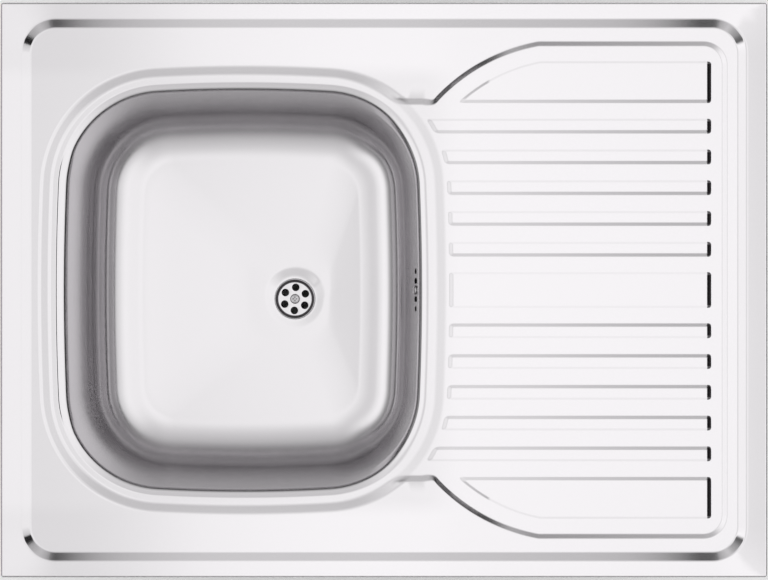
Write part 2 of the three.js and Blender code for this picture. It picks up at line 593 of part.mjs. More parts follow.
// ---- sound-deadening pad under the bowl floor ---------------------------
const PAD = { x0: -256, x1: -150, y0: -92, y1: 92, t: 2.4, nx: 4, ny: 6, gap: 0.45 };
const padFaces = [];
const padGrid = [];
for (let i = 0; i <= PAD.nx; i++) {
  padGrid.push([]);
  for (let j = 0; j <= PAD.ny; j++) {
    let x = PAD.x0 + (PAD.x1 - PAD.x0) * i / PAD.nx, y = PAD.y0 + (PAD.y1 - PAD.y0) * j / PAD.ny;
    const corner = (i === 0 || i === PAD.nx) && (j === 0 || j === PAD.ny);
    if (corner) { x += i === 0 ? 4 : -4; y += j === 0 ? 4 : -4; }
    const z = floorZ(x, y) - SHEET - PAD.gap;
    padGrid[i].push([V(x, y, z), V(x, y, z - PAD.t)]);
  }
}
const quad = (a, b, c, d) => padFaces.push([a, b, c], [a, c, d]);
for (let i = 0; i < PAD.nx; i++) {
  for (let j = 0; j < PAD.ny; j++) {
    const [A, B, C, D] = [padGrid[i][j], padGrid[i + 1][j], padGrid[i + 1][j + 1], padGrid[i][j + 1]];
    quad(A[0], B[0], C[0], D[0]);
    quad(D[1], C[1], B[1], A[1]);
  }
}
for (let i = 0; i < PAD.nx; i++) {
  const a = padGrid[i][0], b = padGrid[i + 1][0], c = padGrid[i][PAD.ny], d = padGrid[i + 1][PAD.ny];
  quad(a[1], b[1], b[0], a[0]);
  quad(d[1], c[1], c[0], d[0]);
}
for (let j = 0; j < PAD.ny; j++) {
  const a = padGrid[0][j], b = padGrid[0][j + 1], c = padGrid[PAD.nx][j], d = padGrid[PAD.nx][j + 1];
  quad(b[1], a[1], a[0], b[0]);
  quad(c[1], d[1], d[0], c[0]);
}
const padGeometry = new THREE.BufferGeometry();
padGeometry.setAttribute('position', new THREE.Float32BufferAttribute(padFaces.flat().flatMap((p) => [p.x, p.y, p.z]), 3));
mesh('bowl_sound_pad', outward(padGeometry), 0x3b3a3c, 0.9, 0);

// ---- fixing brackets ----------------------------------------------------
// Built for the right-hand side: a lip over the return flange, a leg down the
// inside of the cabinet side and an upright slot for one wood screw.
const BRACKET = { x: 380, t: 1.5, lip: 392, half: 15, top: 2.6, foot: -36, slotTop: -11, slotFoot: -29, slotR: 2.4, y: 170, screwZ: -20 };
function bracket() {
  const leg = new THREE.Shape();
  const h = BRACKET.half, f = BRACKET.foot, c = 4;
  leg.moveTo(-h, BRACKET.top); leg.lineTo(-h, f + c); leg.lineTo(-h + c, f); leg.lineTo(h - c, f);
  leg.lineTo(h, f + c); leg.lineTo(h, BRACKET.top); leg.closePath();
  const slot = new THREE.Path();
  slot.absarc(0, BRACKET.slotTop, BRACKET.slotR, 0, Math.PI, false);
  slot.absarc(0, BRACKET.slotFoot, BRACKET.slotR, Math.PI, 2 * Math.PI, false);
  leg.holes.push(slot);
  const g = new THREE.ExtrudeGeometry(leg, { depth: BRACKET.t, bevelEnabled: false, curveSegments: 4 });
  // shape (y, z) extruded along x
  g.applyMatrix4(new THREE.Matrix4().makeBasis(V(0, 1, 0), V(0, 0, 1), V(1, 0, 0)));
  g.translate(BRACKET.x, 0, 0);
  const lip = box(BRACKET.x, -h, BRACKET.top - BRACKET.t, BRACKET.lip, h, BRACKET.top);
  const rib = box(BRACKET.x - 1.4, -h + 2.4, -8, BRACKET.x + 0.3, h - 2.4, -5.4);
  return geometryOf(join(g, lip, rib));
}
function woodScrew() {
  const s = cut(
    join(lathe([[0, 15], [0.5, 14.2], [1.9, 11], [1.9, -0.05], [4.1, -0.05], [4.0, -1.2], [2.9, -2.3], [0, -2.7]], 14)),
    ...crossCut(2.1, -4, -1.2, 0.42));
  const g = geometryOf(s);
  g.rotateY(HALF);
  g.translate(BRACKET.x - 0.35, 0, BRACKET.screwZ);
  return g;
}
let count = 0;
for (const [side, y] of [[1, -BRACKET.y], [1, BRACKET.y], [-1, BRACKET.y], [-1, -BRACKET.y]]) {
  count += 1;
  const place = new THREE.Group();
  if (side < 0) place.rotation.z = Math.PI;
  place.position.y = y;
  root.add(place);
  mesh(`fixing_bracket_${count}`, bracket(), 0xb8babd, 0.45, 1, place);
  mesh(`bracket_screw_${count}`, woodScrew(), 0xc8b77a, 0.4, 1, place);
}

export default root;
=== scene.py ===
import math
import bpy
import bmesh
import numpy as np
from mathutils import Matrix, Vector
from mathutils.geometry import delaunay_2d_cdt


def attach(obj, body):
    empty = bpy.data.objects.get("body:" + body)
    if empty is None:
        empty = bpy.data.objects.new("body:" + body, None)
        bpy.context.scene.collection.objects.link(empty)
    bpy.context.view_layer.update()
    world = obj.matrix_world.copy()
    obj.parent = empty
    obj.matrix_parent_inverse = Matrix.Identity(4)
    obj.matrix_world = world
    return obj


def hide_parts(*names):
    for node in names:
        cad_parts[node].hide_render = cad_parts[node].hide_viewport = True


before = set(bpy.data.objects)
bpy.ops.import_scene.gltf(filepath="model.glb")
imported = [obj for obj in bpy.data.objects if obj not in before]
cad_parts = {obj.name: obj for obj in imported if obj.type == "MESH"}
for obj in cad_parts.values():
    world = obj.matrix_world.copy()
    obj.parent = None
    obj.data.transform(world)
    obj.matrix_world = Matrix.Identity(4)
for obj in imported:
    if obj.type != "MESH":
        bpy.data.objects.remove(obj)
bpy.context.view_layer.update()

MM = 0.001
HALF = math.pi / 2

# ---------------------------------------------------------------------------
# sizes in millimetres, the same as the solid model's
# ---------------------------------------------------------------------------
LENGTH, WIDTH, SHEET = 800.0, 600.0, 0.8
Z_RIM, Z_DECK, Z_LEDGE = 30.0, 26.0, 21.5
Z_DRAIN_FAR, Z_DRAIN_NEAR, ISLAND_H = 23.2, 22.4, 2.3
FLANGE, FOLD_R = 12.0, 2.4
RIM = (378.0, 282.5, 35.4)
BOWL_X = -147.6
HW, HH, R_SIDE, R_TOP, R_CORNER = 186.7, 208.8, 2600.0, 1570.0, 99.5
EDGE_R = 7.0
DRAFT = math.radians(8)
Z_FLOOR, FLOOR_R = -130.0, 51.0
DISH_X, DISH_Y, DISH_R, DISH_Z, DISH_LAND, DISH_LAND_R, DISH_HOLE = -100.0, -10.0, 32.0, -133.0, -136.0, 25.0, 20.9
BAY_X, BAY_Y, BAY_R, BAY_CX, BAY_CY, BAY_ARC, BAY_NECK = 358.8, 260.1, 25.0, 195.8, 68.0, 195.15, 199.4
RIB_PITCH, RIB_FIRST, RIB_HALF, RIB_RIGHT = 32.2, 42.6, 8.25, 340.5
OVER_Z = -23.0
EDGE_0 = 10.0                      # where the ledge starts to fall into the bowl


def edge_profile():
    """(offset, z, slope angle) from the ledge over the bowl's edge to the top of the wall."""
    pts = [(EDGE_0, Z_LEDGE, 0.0)]

    def to(off, deg, n):
        o0, z0, a0 = pts[-1]
        a1 = math.radians(deg)
        if abs(a1 - a0) < 1e-6:
            pts.append((off, z0 - (o0 - off) * math.tan(a0), a1))
            return
        r = (o0 - off) / (math.sin(a1) - math.sin(a0))
        for k in range(1, n + 1):
            a = a0 + (a1 - a0) * k / n
            pts.append((o0 - r * (math.sin(a) - math.sin(a0)), z0 - r * (math.cos(a0) - math.cos(a)), a))

    to(8.2, 23.0, 4)
    to(4.4, 21.5, 2)
    to(0.0, 82.0, 12)
    return pts


# ---------------------------------------------------------------------------
# profiles
# ---------------------------------------------------------------------------
def ease(u, a, b):
    """0 to 1 over u 0..1: the slope rises over a, holds, and falls over b."""
    u = np.clip(u, 0.0, 1.0)
    m = 1.0 / (1.0 - a / 2 - b / 2)
    first = m * u * u / (2 * a)
    middle = m * (u - a / 2)
    v = 1.0 - u
    last = 1.0 - m * v * v / (2 * b)
    return np.where(u < a, first, np.where(u > 1 - b, last, middle))


# ---------------------------------------------------------------------------
# the bowl outline: four flat arcs and four tangent corner arcs
# ---------------------------------------------------------------------------
def solve_bowl():
    a, b = HW - R_SIDE, HH - R_TOP
    r1, r2 = R_SIDE - R_CORNER, R_TOP - R_CORNER
    x, y = HW - R_CORNER, HH - R_CORNER
    for _ in range(60):
        f1 = (x - a) ** 2 + y * y - r1 * r1
        f2 = x * x + (y - b) ** 2 - r2 * r2
        j = np.array([[2 * (x - a), 2 * y], [2 * x, 2 * (y - b)]])
        dx, dy = np.linalg.solve(j, [f1, f2])
        x, y = x - dx, y - dy
    return a, b, x, y, math.atan2(y, x - a), math.atan2(y - b, x)


BA, BB, BCX, BCY, BT1, BT2 = solve_bowl()


def bowl_offset(x, y):
    """Distance outwards from the bowl's edge outline."""
    px, py = np.abs(x - BOWL_X), np.abs(y)
    ts = np.arctan2(py, px - BA)
    tt = np.arctan2(py - BB, px)
    side = np.hypot(px - BA, py) - R_SIDE
    top = np.hypot(px, py - BB) - R_TOP
    corner = np.hypot(px - BCX, py - BCY) - R_CORNER
    return np.where(ts <= BT1, side, np.where(tt >= BT2, top, corner))


def bowl_run(n_corner, n_side, n_top):
    """Base points, outward directions: anticlockwise from the right-hand side's middle."""
    arcs = []
    q = [(BA, 0, R_SIDE, 0, BT1, n_side), (BCX, BCY, R_CORNER, BT1, BT2, n_corner), (0, BB, R_TOP, BT2, HALF, n_top)]
    for cx, cy, r, t0, t1, n in q:
        arcs += [(cx, cy, r, t0 + (t1 - t0) * k / n) for k in range(n)]
    quarter = [(cx + r * math.cos(t), cy + r * math.sin(t), math.cos(t), math.sin(t)) for cx, cy, r, t in arcs]
    end = (0.0, HH, 0.0, 1.0)
    start = quarter[0]
    q1 = quarter
    q2 = [end] + [(-x, y, -nx, ny) for x, y, nx, ny in reversed(quarter[1:])]
    q3 = [(-x, -y, -nx, -ny) for x, y, nx, ny in q1]
    q4 = [(-x, -y, -nx, -ny) for x, y, nx, ny in q2]
    run = np.array(q1 + q2 + q3 + q4)
    run[:, 0] += BOWL_X
    return run[:, :2], run[:, 2:]


BASE, NORM = bowl_run(26, 10, 10)
NB = len(BASE)


def ring(offset):
    return BASE + NORM * offset


# ---------------------------------------------------------------------------
# the pressed top, as a height over the plan
# ---------------------------------------------------------------------------
RIM_A, RIM_W = -1.5, 11.3   # where the rim step starts, inside its top line, and its width
RING_A, RING_B = 14.2, 27.8        # step down to the ledge round the bowl
BAY_A, BAY_W, BAY_WN, NECK_UP = -0.6, 6.4, 9.0, 1.8
W_IN, W_CAP, W_OUT, CAP_ON = 4.6, 5.4, 3.2, 2.2


def rim_inset(x, y):
    hx, hy, r = RIM
    qx, qy = np.abs(x) - (hx - r), np.abs(y) - (hy - r)
    outside = np.hypot(np.maximum(qx, 0), np.maximum(qy, 0)) + np.minimum(np.maximum(qx, qy), 0)
    return r - outside


def bay_inset(x, y):
    """Distance inside the outline of the drainboard bay; its neck runs on into the bowl."""
    ay = np.abs(y)
    arc = BAY_ARC - np.hypot(x - BAY_CX, ay - BAY_CY)
    neck = BAY_NECK + NECK_UP * np.clip((50.0 - x) / 10.0, 0, 1) - ay
    top = BAY_Y - ay
    right = BAY_X - x
    r = BAY_R
    corner = r - np.hypot(np.maximum(r - top, 0), np.maximum(r - right, 0))
    box = np.where((top < r) & (right < r), corner, np.minimum(top, right))
    kink = BAY_CX - math.sqrt(BAY_ARC ** 2 - (BAY_Y - BAY_CY) ** 2)
    curved = np.where(x < kink, arc, np.minimum(box, np.where(x < BAY_CX, arc + (x - kink) * 0.6, 1e9)))
    curved = np.minimum(np.minimum(curved, np.where(x < BAY_CX, 1e9, box)), box)
    curved = np.where(x < BAY_CX - BAY_ARC + 2, -1e9, curved)
    # the union with the strip between the two necks
    k = 3.0
    a, b = curved, np.where(x < BAY_CX, neck, -1e9)
    h = np.clip(0.5 + 0.5 * (a - b) / k, 0, 1)
    both = np.where(b < -1e8, a, np.where(a < -1e8, b, b + (a - b) * h + k * h * (1 - h) * 0.5))
    return np.where(x < -6.0, -1e9, both)


def bay_width(x):
    f = np.clip((55.0 - x) / 12.0, 0, 1)
    return BAY_W + (BAY_WN - BAY_W) * f * f * (3 - 2 * f)


def drain_z(x):
    return Z_DRAIN_NEAR + (Z_DRAIN_FAR - Z_DRAIN_NEAR) * (np.clip(x, 20, 353) - 27) / (352 - 27)


def island_rise(t):
    return ease(t, 0.22, 0.22)


_T = np.linspace(0, 1, 2001)
_RISE, _CAP = ease(_T, 0.22, 0.22), ease(_T, 0.08, 0.08)


def cap_level(q):
    """The right-hand ends keep one slope for longer than the long sides."""
    inside = np.interp(np.interp(q, _T, _CAP), _RISE, _T)
    return np.where(q < 0, q, np.where(q > 1, q, inside))


def _outer_table():
    return ease(_T, 0.22, 0.22)


_OUT = _outer_table()


def out_level(q):
    """The long sides away from the middle run out gently."""
    inside = np.interp(np.interp(q, _T, _OUT), _RISE, _T)
    return np.where(q < 0, q, np.where(q > 1, q, inside))


def out_place(t):
    inside = float(np.interp(np.interp(t, _T, _RISE), _OUT, _T))
    return t if t < 0 or t > 1 else inside


def cap_place(t):
    inside = float(np.interp(np.interp(t, _T, _RISE), _CAP, _T))
    return t if t < 0 or t > 1 else inside


def soft_min(qs, rho):
    """Smallest of the sides' distances, in their own widths, with rounded corners."""
    q = np.sort(np.stack(qs), axis=0)
    a, b = q[0], q[1]
    both = (a < rho) & (b < rho)
    return np.where(both, rho - np.hypot(np.maximum(rho - a, 0), np.maximum(rho - b, 0)), a)


def ring_x(offset, y):
    ay, rs, rc = abs(y), R_SIDE + offset, R_CORNER + offset
    if ay <= rs * math.sin(BT1):
        return BOWL_X + BA + math.sqrt(rs * rs - y * y)
    return BOWL_X + BCX + math.sqrt(max(rc * rc - (ay - BCY) ** 2, 1.0))


LEFT_OFF = 28.8


def rib_level(x, y, yc, half):
    s = 1.0 if yc >= 0 else -1.0
    inner = (s * (y - yc) + half)      # from the long side that faces the middle
    outer = (half - s * (y - yc))
    first = inner / W_IN if abs(yc) > 1 else out_level(inner / W_OUT)
    cap = RIB_RIGHT + CAP_ON - x
    left = bowl_offset(x, y) - LEFT_OFF
    return soft_min([first, out_level(outer / W_OUT), cap_level(cap / W_CAP), left / 5.0], 1.12)


def lens_level(x, y, s):
    ay = y * s
    inner = ay - 195.0
    arc = 174.8 - np.hypot(x - BAY_CX, ay - BAY_CY)
    top = 239.8 - ay
    outer = np.where(x < BAY_CX, np.minimum(arc, top), top)
    cap = RIB_RIGHT + CAP_ON - x
    return soft_min([inner / W_IN, out_level(outer / W_OUT), cap_level(cap / W_CAP)], 1.12)


RIBS = [(s * (RIB_FIRST + RIB_PITCH * k), RIB_HALF) for k in range(5) for s in (1, -1)] + [(0.0, 19.2)]


def height(x, y):
    x, y = np.asarray(x, float), np.asarray(y, float)
    z = np.full(np.broadcast(x, y).shape, Z_RIM)
    inset = rim_inset(x, y)
    z = z + (Z_DECK - Z_RIM) * ease((inset - RIM_A) / RIM_W, 0.2, 0.2)
    bay = ease((bay_inset(x, y) - BAY_A) / bay_width(x), 0.25, 0.25)
    z = z + (drain_z(x) - Z_DECK) * bay
    level = np.full(z.shape, -1.0)
    near = (x > 20) & (x < 345) & (np.abs(y) < 243)
    if near.any():
        xs, ys = np.broadcast_to(x, z.shape)[near], np.broadcast_to(y, z.shape)[near]
        t = np.full(xs.shape, -1.0)
        for yc, half in RIBS:
            m = np.abs(ys - yc) < half + 0.5
            if m.any():
                t[m] = np.maximum(t[m], rib_level(xs[m], ys[m], yc, half))
        for s in (1, -1):
            m = ys * s > 190
            if m.any():
                t[m] = np.maximum(t[m], lens_level(xs[m], ys[m], s))
        level[near] = t
    z = z + ISLAND_H * island_rise(level)
    off = bowl_offset(x, y)
    f = ease((RING_B - off) / (RING_B - RING_A), 0.3, 0.3)
    return z + (Z_LEDGE - z) * f


def smoothstep(x, a, b):
    t = np.clip((x - a) / (b - a), 0, 1)
    return t * t * (3 - 2 * t)


def lean(deg, slope):
    return np.tan(np.radians(deg)) / slope


def rim_lean(x, y):
    """How far the rim step leans, in degrees: the corners were drawn tighter than the sides."""
    ax, ay = np.abs(x), np.abs(y)
    cx, cy = RIM[0] - RIM[2], RIM[1] - RIM[2]
    psi = np.degrees(np.arctan2(ay - cy, ax - cx))
    along_top = np.clip(cx - ax, 0, None)
    top = 24.5 + 19.0 * np.exp(-(along_top / 62.0) ** 1.1) + 3.4 * smoothstep(x, -40.0, 180.0)
    side = np.full(np.shape(ax), 24.0)
    far = [27, 30, 36, 42, 48, 54, 60, 66, 74, 82, 90], [43.3, 41.5, 38.8, 38.2, 37.8, 35.6, 32.3, 33.2, 36, 42.6, 43.5]
    right = np.interp(psi, [0, 12, 17, 20, 23] + far[0], [24, 26, 30, 34, 43] + far[1])
    left = np.interp(psi, [0, 6, 12, 17, 22] + far[0], [24, 31.5, 34, 37.5, 43.5] + far[1])
    arc = np.where(x > 0, right, left)
    return np.where((ax > cx) & (ay > cy), arc, np.where(ay - cy > ax - cx, top, side))


def normals_of(x, y):
    e = 0.04
    dx = (height(x + e, y) - height(x - e, y)) / (2 * e)
    dy = (height(x, y + e) - height(x, y - e)) / (2 * e)
    flat = np.maximum(np.hypot(dx, dy), 1e-9)
    nx, ny = -dx / flat, -dy / flat
    inset, bay, off = rim_inset(x, y), bay_inset(x, y), bowl_offset(x, y)
    k = np.ones_like(dx)
    k = np.where(inset < 14, lean(rim_lean(x, y), 0.4425), k)
    # the bay's curved ends are steeper than its long sides
    curved = smoothstep(x, 46.0, 56.0) * (1 - smoothstep(x, 92.0, 138.0))
    in_bay = (bay > BAY_A - 0.5) & (bay < 9.6) & (off > RING_B) & (inset > 14)
    k = np.where(in_bay, 1.0 + 0.40 * curved + 0.11 * smoothstep(np.abs(ny), 0.6, 0.95) * smoothstep(x, 130.0, 165.0), k)
    # ring round the bowl: its left-hand side is a little steeper
    k = np.where((off < RING_B + 0.1) & (off > RING_A - 0.1), 1.0 + 0.34 * smoothstep(nx, 0.32, 0.70), k)
    # islands: soft towards the middle, hardly seen outwards, steep at the right-hand ends
    island = (bay > 9.6) & (off > RING_B + 0.6)
    m = -np.sign(y) * ny
    k_side = 0.11 + (0.46 + 0.42 * smoothstep(x, 60.0, 345.0) - 0.11) * smoothstep(m, -0.3, 0.5)
    w_cap = np.where(m > 0, smoothstep(nx, 0.30, 0.60), smoothstep(nx, 0.80, 0.95))
    k_is = k_side + (lean(35.6, 0.463) - k_side) * w_cap
    k_is = np.where(nx < -0.5, 0.55, k_is)
    k = np.where(island, k_is, k)
    n = np.stack([-dx * k, -dy * k, np.ones_like(dx)], 1)
    # the rim is slightly dished between its outer fold and the step
    gx = (rim_inset(x + e, y) - rim_inset(x - e, y)) / (2 * e)
    gy = (rim_inset(x, y + e) - rim_inset(x, y - e)) / (2 * e)
    f = np.clip((RIM_A + 1.2 - inset) / 2.4, 0, 1)
    f = f * f * (3 - 2 * f) * np.tan(np.radians(np.where(gx < -0.7, 12.5, 7.0)))
    n[:, 0] += gx * f
    n[:, 1] += gy * f
    return n / np.linalg.norm(n, axis=1)[:, None]


# ---------------------------------------------------------------------------
# plan mesh of the pressed top, with its edges along the steps
# ---------------------------------------------------------------------------
class Plan:
    def __init__(self):
        self.v, self.e = [], []

    def line(self, pts, closed=False):
        i = len(self.v)
        self.v += [tuple(p) for p in pts]
        n = len(pts)
        self.e += [(i + k, i + k + 1) for k in range(n - 1)]
        if closed:
            self.e.append((i + n - 1, i))
        return i


def spread(p, q, step):
    n = max(1, int(round(math.dist(p, q) / step)))
    return [(p[0] + (q[0] - p[0]) * k / n, p[1] + (q[1] - p[1]) * k / n) for k in range(n)]


def round_rect(hx, hy, r, seg, step):
    out = []
    for q in range(4):
        sx, sy = (1 if q in (0, 3) else -1), (1 if q < 2 else -1)
        arc = []
        for k in range(seg + 1):
            t = (q + k / seg) * HALF
            arc.append((sx * (hx - r) + r * math.cos(t), sy * (hy - r) + r * math.sin(t)))
        out += arc[:-1]
        sx2, sy2 = (1 if (q + 1) % 4 in (0, 3) else -1), (1 if (q + 1) % 4 < 2 else -1)
        t = ((q + 1) % 4) * HALF
        nxt = (sx2 * (hx - r) + r * math.cos(t), sy2 * (hy - r) + r * math.sin(t))
        out += spread(arc[-1], nxt, step)
    return out


SKIRT_STEP = 10.0


def skirt_ring(d):
    return np.array(round_rect(LENGTH / 2 - d, WIDTH / 2 - d, max(3.0 - d, 0.7), 5, SKIRT_STEP))


def levels_of(width, a, b, n_mid=3):
    """Insets across a step: closer together over its two rounded ends."""
    us = [0, a * 0.33, a * 0.66, a] + [a + (1 - a - b) * (k + 1) / (n_mid + 1) for k in range(n_mid)] + [1 - b, 1 - b * 0.66, 1 - b * 0.33, 1]
    return [u * width for u in us]


def island_outline(kind, t, yc=0.0, half=0.0, s=1):
    """Closed line on which an island's level is t, traced outwards from its spine."""
    pts = []
    if kind == "rib":
        wi, wo = (W_IN, W_OUT) if abs(yc) > 1 else (W_OUT, W_OUT)
        sg = 1.0 if yc >= 0 else -1.0
        tin = t if abs(yc) > 1 else out_place(t)
        y_in, y_out = yc - sg * (half - tin * wi), yc + sg * (half - out_place(t) * wo)
        xr = RIB_RIGHT + CAP_ON - cap_place(t) * W_CAP
        rho = 1.12
        ki, ko, kc = max(rho - t, 0.02) * wi, max(rho - t, 0.02) * wo, max(rho - t, 0.02) * W_CAP
        lo, hi = (y_in, y_out) if sg > 0 else (y_out, y_in)
        klo, khi = (ki, ko) if sg > 0 else (ko, ki)
        off = LEFT_OFF + t * 5.0
        kl = max(rho - t, 0.02) * 5.0
        for k in range(6):
            a = -HALF + HALF * k / 5
            pts.append((xr - kc + kc * math.cos(a), lo + klo + klo * math.sin(a)))
        pts += spread(pts[-1], (xr, hi - khi), 4.0)[1:]
        for k in range(6):
            a = HALF * k / 5
            pts.append((xr - kc + kc * math.cos(a), hi - khi + khi * math.sin(a)))
        xl_hi, xl_lo = ring_x(off, hi - khi), ring_x(off, lo + klo)
        pts += spread(pts[-1], (xl_hi + kl, hi), 12.0)[1:]
        for k in range(6):
            a = HALF + HALF * k / 5
            y = hi - khi + khi * math.sin(a)
            pts.append((ring_x(off, y) + kl * (1 + math.cos(a)), y))
        n = max(2, int((hi - lo) / 4))
        for k in range(1, n):
            y = hi - khi + (lo + klo - hi + khi) * k / n
            pts.append((ring_x(off, y), y))
        for k in range(6):
            a = math.pi + HALF * k / 5
            y = lo + klo + klo * math.sin(a)
            pts.append((ring_x(off, y) + kl * (1 + math.cos(a)), y))
        pts += spread(pts[-1], (xr - kc, lo), 12.0)[1:]
        return pts
    rho = 1.12
    y0, y1 = 195.0 + t * W_IN, 239.8 - out_place(t) * W_OUT
    xr, arc = RIB_RIGHT + CAP_ON - cap_place(t) * W_CAP, 174.8 - out_place(t) * W_OUT
    k0, k1, kc = max(rho - t, 0.02) * W_IN, max(rho - t, 0.02) * W_OUT, max(rho - t, 0.02) * W_CAP
    for k in range(6):
        a = -HALF + HALF * k / 5
        pts.append((xr - kc + kc * math.cos(a), y0 + k0 + k0 * math.sin(a)))
    pts += spread(pts[-1], (xr, y1 - k1), 4.0)[1:]
    for k in range(6):
        a = HALF * k / 5
        pts.append((xr - kc + kc * math.cos(a), y1 - k1 + k1 * math.sin(a)))
    ta = math.pi - math.asin((y1 - BAY_CY) / arc)
    kink = BAY_CX + arc * math.cos(ta)
    pts += spread(pts[-1], (kink, y1), 10.0)[1:]
    yt = y0 + k0 * 0.8
    tb = math.pi - math.asin((yt - BAY_CY) / arc)
    n = 36
    for k in range(n + 1):
        a = ta + (tb - ta) * k / n
        pts.append((BAY_CX + arc * math.cos(a), BAY_CY + arc * math.sin(a)))
    tip = pts[-1]
    for k in range(1, 4):
        f = k / 4
        pts.append((tip[0] + 0.6 * k0 * f, tip[1] - (tip[1] - y0) * math.sin(HALF * f)))
    pts += spread((tip[0] + 0.8 * k0, y0), (xr - kc, y0), 12.0)
    return [(x, s * y) for x, y in pts]


def bay_lines(d):
    """Line at inset d of the bay outline, upper half, from inside the ring to the right-hand side's middle."""
    arc, top, right, rc, neck = BAY_ARC - d, BAY_Y - d, BAY_X - d, BAY_R - d, BAY_NECK - d
    out = []
    t0 = math.pi - math.asin((neck - BAY_CY) / arc)
    t1 = math.pi - math.asin((top - BAY_CY) / arc)
    xn = BAY_CX + arc * math.cos(t0)
    xs = BOWL_X + BCX + math.sqrt((R_CORNER + 13.0) ** 2 - (neck - BCY) ** 2)
    out += spread((xs, neck), (xn, neck), 2.0)
    n = 70
    out += [(BAY_CX + arc * math.cos(t0 + (t1 - t0) * k / n), BAY_CY + arc * math.sin(t0 + (t1 - t0) * k / n)) for k in range(n + 1)]
    out += spread(out[-1], (right - rc, top), 8.0)[1:]
    out += [(right - rc + rc * math.cos(HALF * (1 - k / 16)), top - rc + rc * math.sin(HALF * (1 - k / 16))) for k in range(17)]
    out += spread(out[-1], (right, 0), 12.0)[1:] + [(right, 0)]
    lower = [(x, -y) for x, y in reversed(out[:-1])]
    return out + lower


def build_plan():
    plan = Plan()
    outer = skirt_ring(FOLD_R)
    plan.line(outer, True)
    inner0 = len(plan.v)
    plan.line(ring(EDGE_0), True)
    plan.line(ring(EDGE_0 + 1.0), True)
    for d in [RIM_A - 0.8] + [RIM_A + v for v in levels_of(RIM_W, 0.2, 0.2)] + [RIM_A + RIM_W + 0.8]:
        plan.line(round_rect(RIM[0] - d, RIM[1] - d, RIM[2] - d, 18, 12.0), True)
    for d in [RING_B + 0.5] + [RING_B - v for v in levels_of(RING_B - RING_A, 0.3, 0.3)] + [RING_A - 0.8]:
        plan.line(ring(d), True)
    for d in [BAY_A - 0.7] + [BAY_A + v for v in levels_of(BAY_W, 0.25, 0.25)] + [BAY_A + BAY_W + 0.9, BAY_A + BAY_W + 2.6, BAY_A + BAY_WN]:
        plan.line(bay_lines(d))
    ts = [-0.12, 0.0, 0.07, 0.15, 0.22, 0.36, 0.5, 0.64, 0.78, 0.85, 0.93, 1.0, 1.1]
    for t in ts:
        for yc, half in RIBS:
            plan.line(island_outline("rib", t, yc, half), True)
        for s in (1, -1):
            plan.line(island_outline("lens", t, s=s), True)
    # points over the flat areas
    gx, gy = np.meshgrid(np.arange(-390, 391, 15.0), np.arange(-292.5, 293, 15.0))
    gx, gy = gx.ravel(), gy.ravel()
    off, rim, bay = bowl_offset(gx, gy), rim_inset(gx, gy), bay_inset(gx, gy)
    keep = (off > 31) & (np.abs(rim - 4) > 10) & ((bay < -4) | (bay > 14))
    keep &= ~((gx > 22) & (gx < 345) & (np.abs(gy) < 243) & (bay > 0))
    plan.v += list(zip(gx[keep], gy[keep]))
    for sg in (1, -1):
        tx, ty = np.meshgrid(np.arange(67.13, 104, 0.97), np.arange(191.7, 213, 0.93))
        plan.v += list(zip(tx.ravel(), sg * ty.ravel()))
    return plan, len(outer), inner0


def sheet_arrays():
    plan, n_outer, inner0 = build_plan()
    out = delaunay_2d_cdt([Vector(p) for p in plan.v], plan.e, [], 0, 1e-4, True)
    verts = np.array([tuple(v) for v in out[0]])
    tris = np.array([f for f in out[2] if len(f) == 3])
    origin = out[3]
    back = {}
    for k, o in enumerate(origin):
        for i in o:
            back[i] = k
    c = verts[tris].mean(axis=1)
    tris = tris[bowl_offset(c[:, 0], c[:, 1]) > EDGE_0 - 0.02]
    a, b, d = verts[tris[:, 0]], verts[tris[:, 1]], verts[tris[:, 2]]
    area = (b[:, 0] - a[:, 0]) * (d[:, 1] - a[:, 1]) - (b[:, 1] - a[:, 1]) * (d[:, 0] - a[:, 0])
    tris[area < 0] = tris[area < 0][:, ::-1]
    tris = tris[np.abs(area) > 1e-7]
    z = height(verts[:, 0], verts[:, 1])
    pos = np.column_stack([verts, z])
    nor = normals_of(verts[:, 0], verts[:, 1])
    outer_ids = [back[k] for k in range(n_outer)]
    inner_ids = [back[inner0 + k] for k in range(NB)]
    faces = [tuple(t) for t in tris]
    return pos, nor, faces, outer_ids, inner_ids


def wall_turn(z):
    """The right-hand wall is a little hollow: upright at the top and more open at the foot."""
    return np.radians(1.6 - 6.0 * np.clip((14.0 - z) / 100.0, 0, 1))


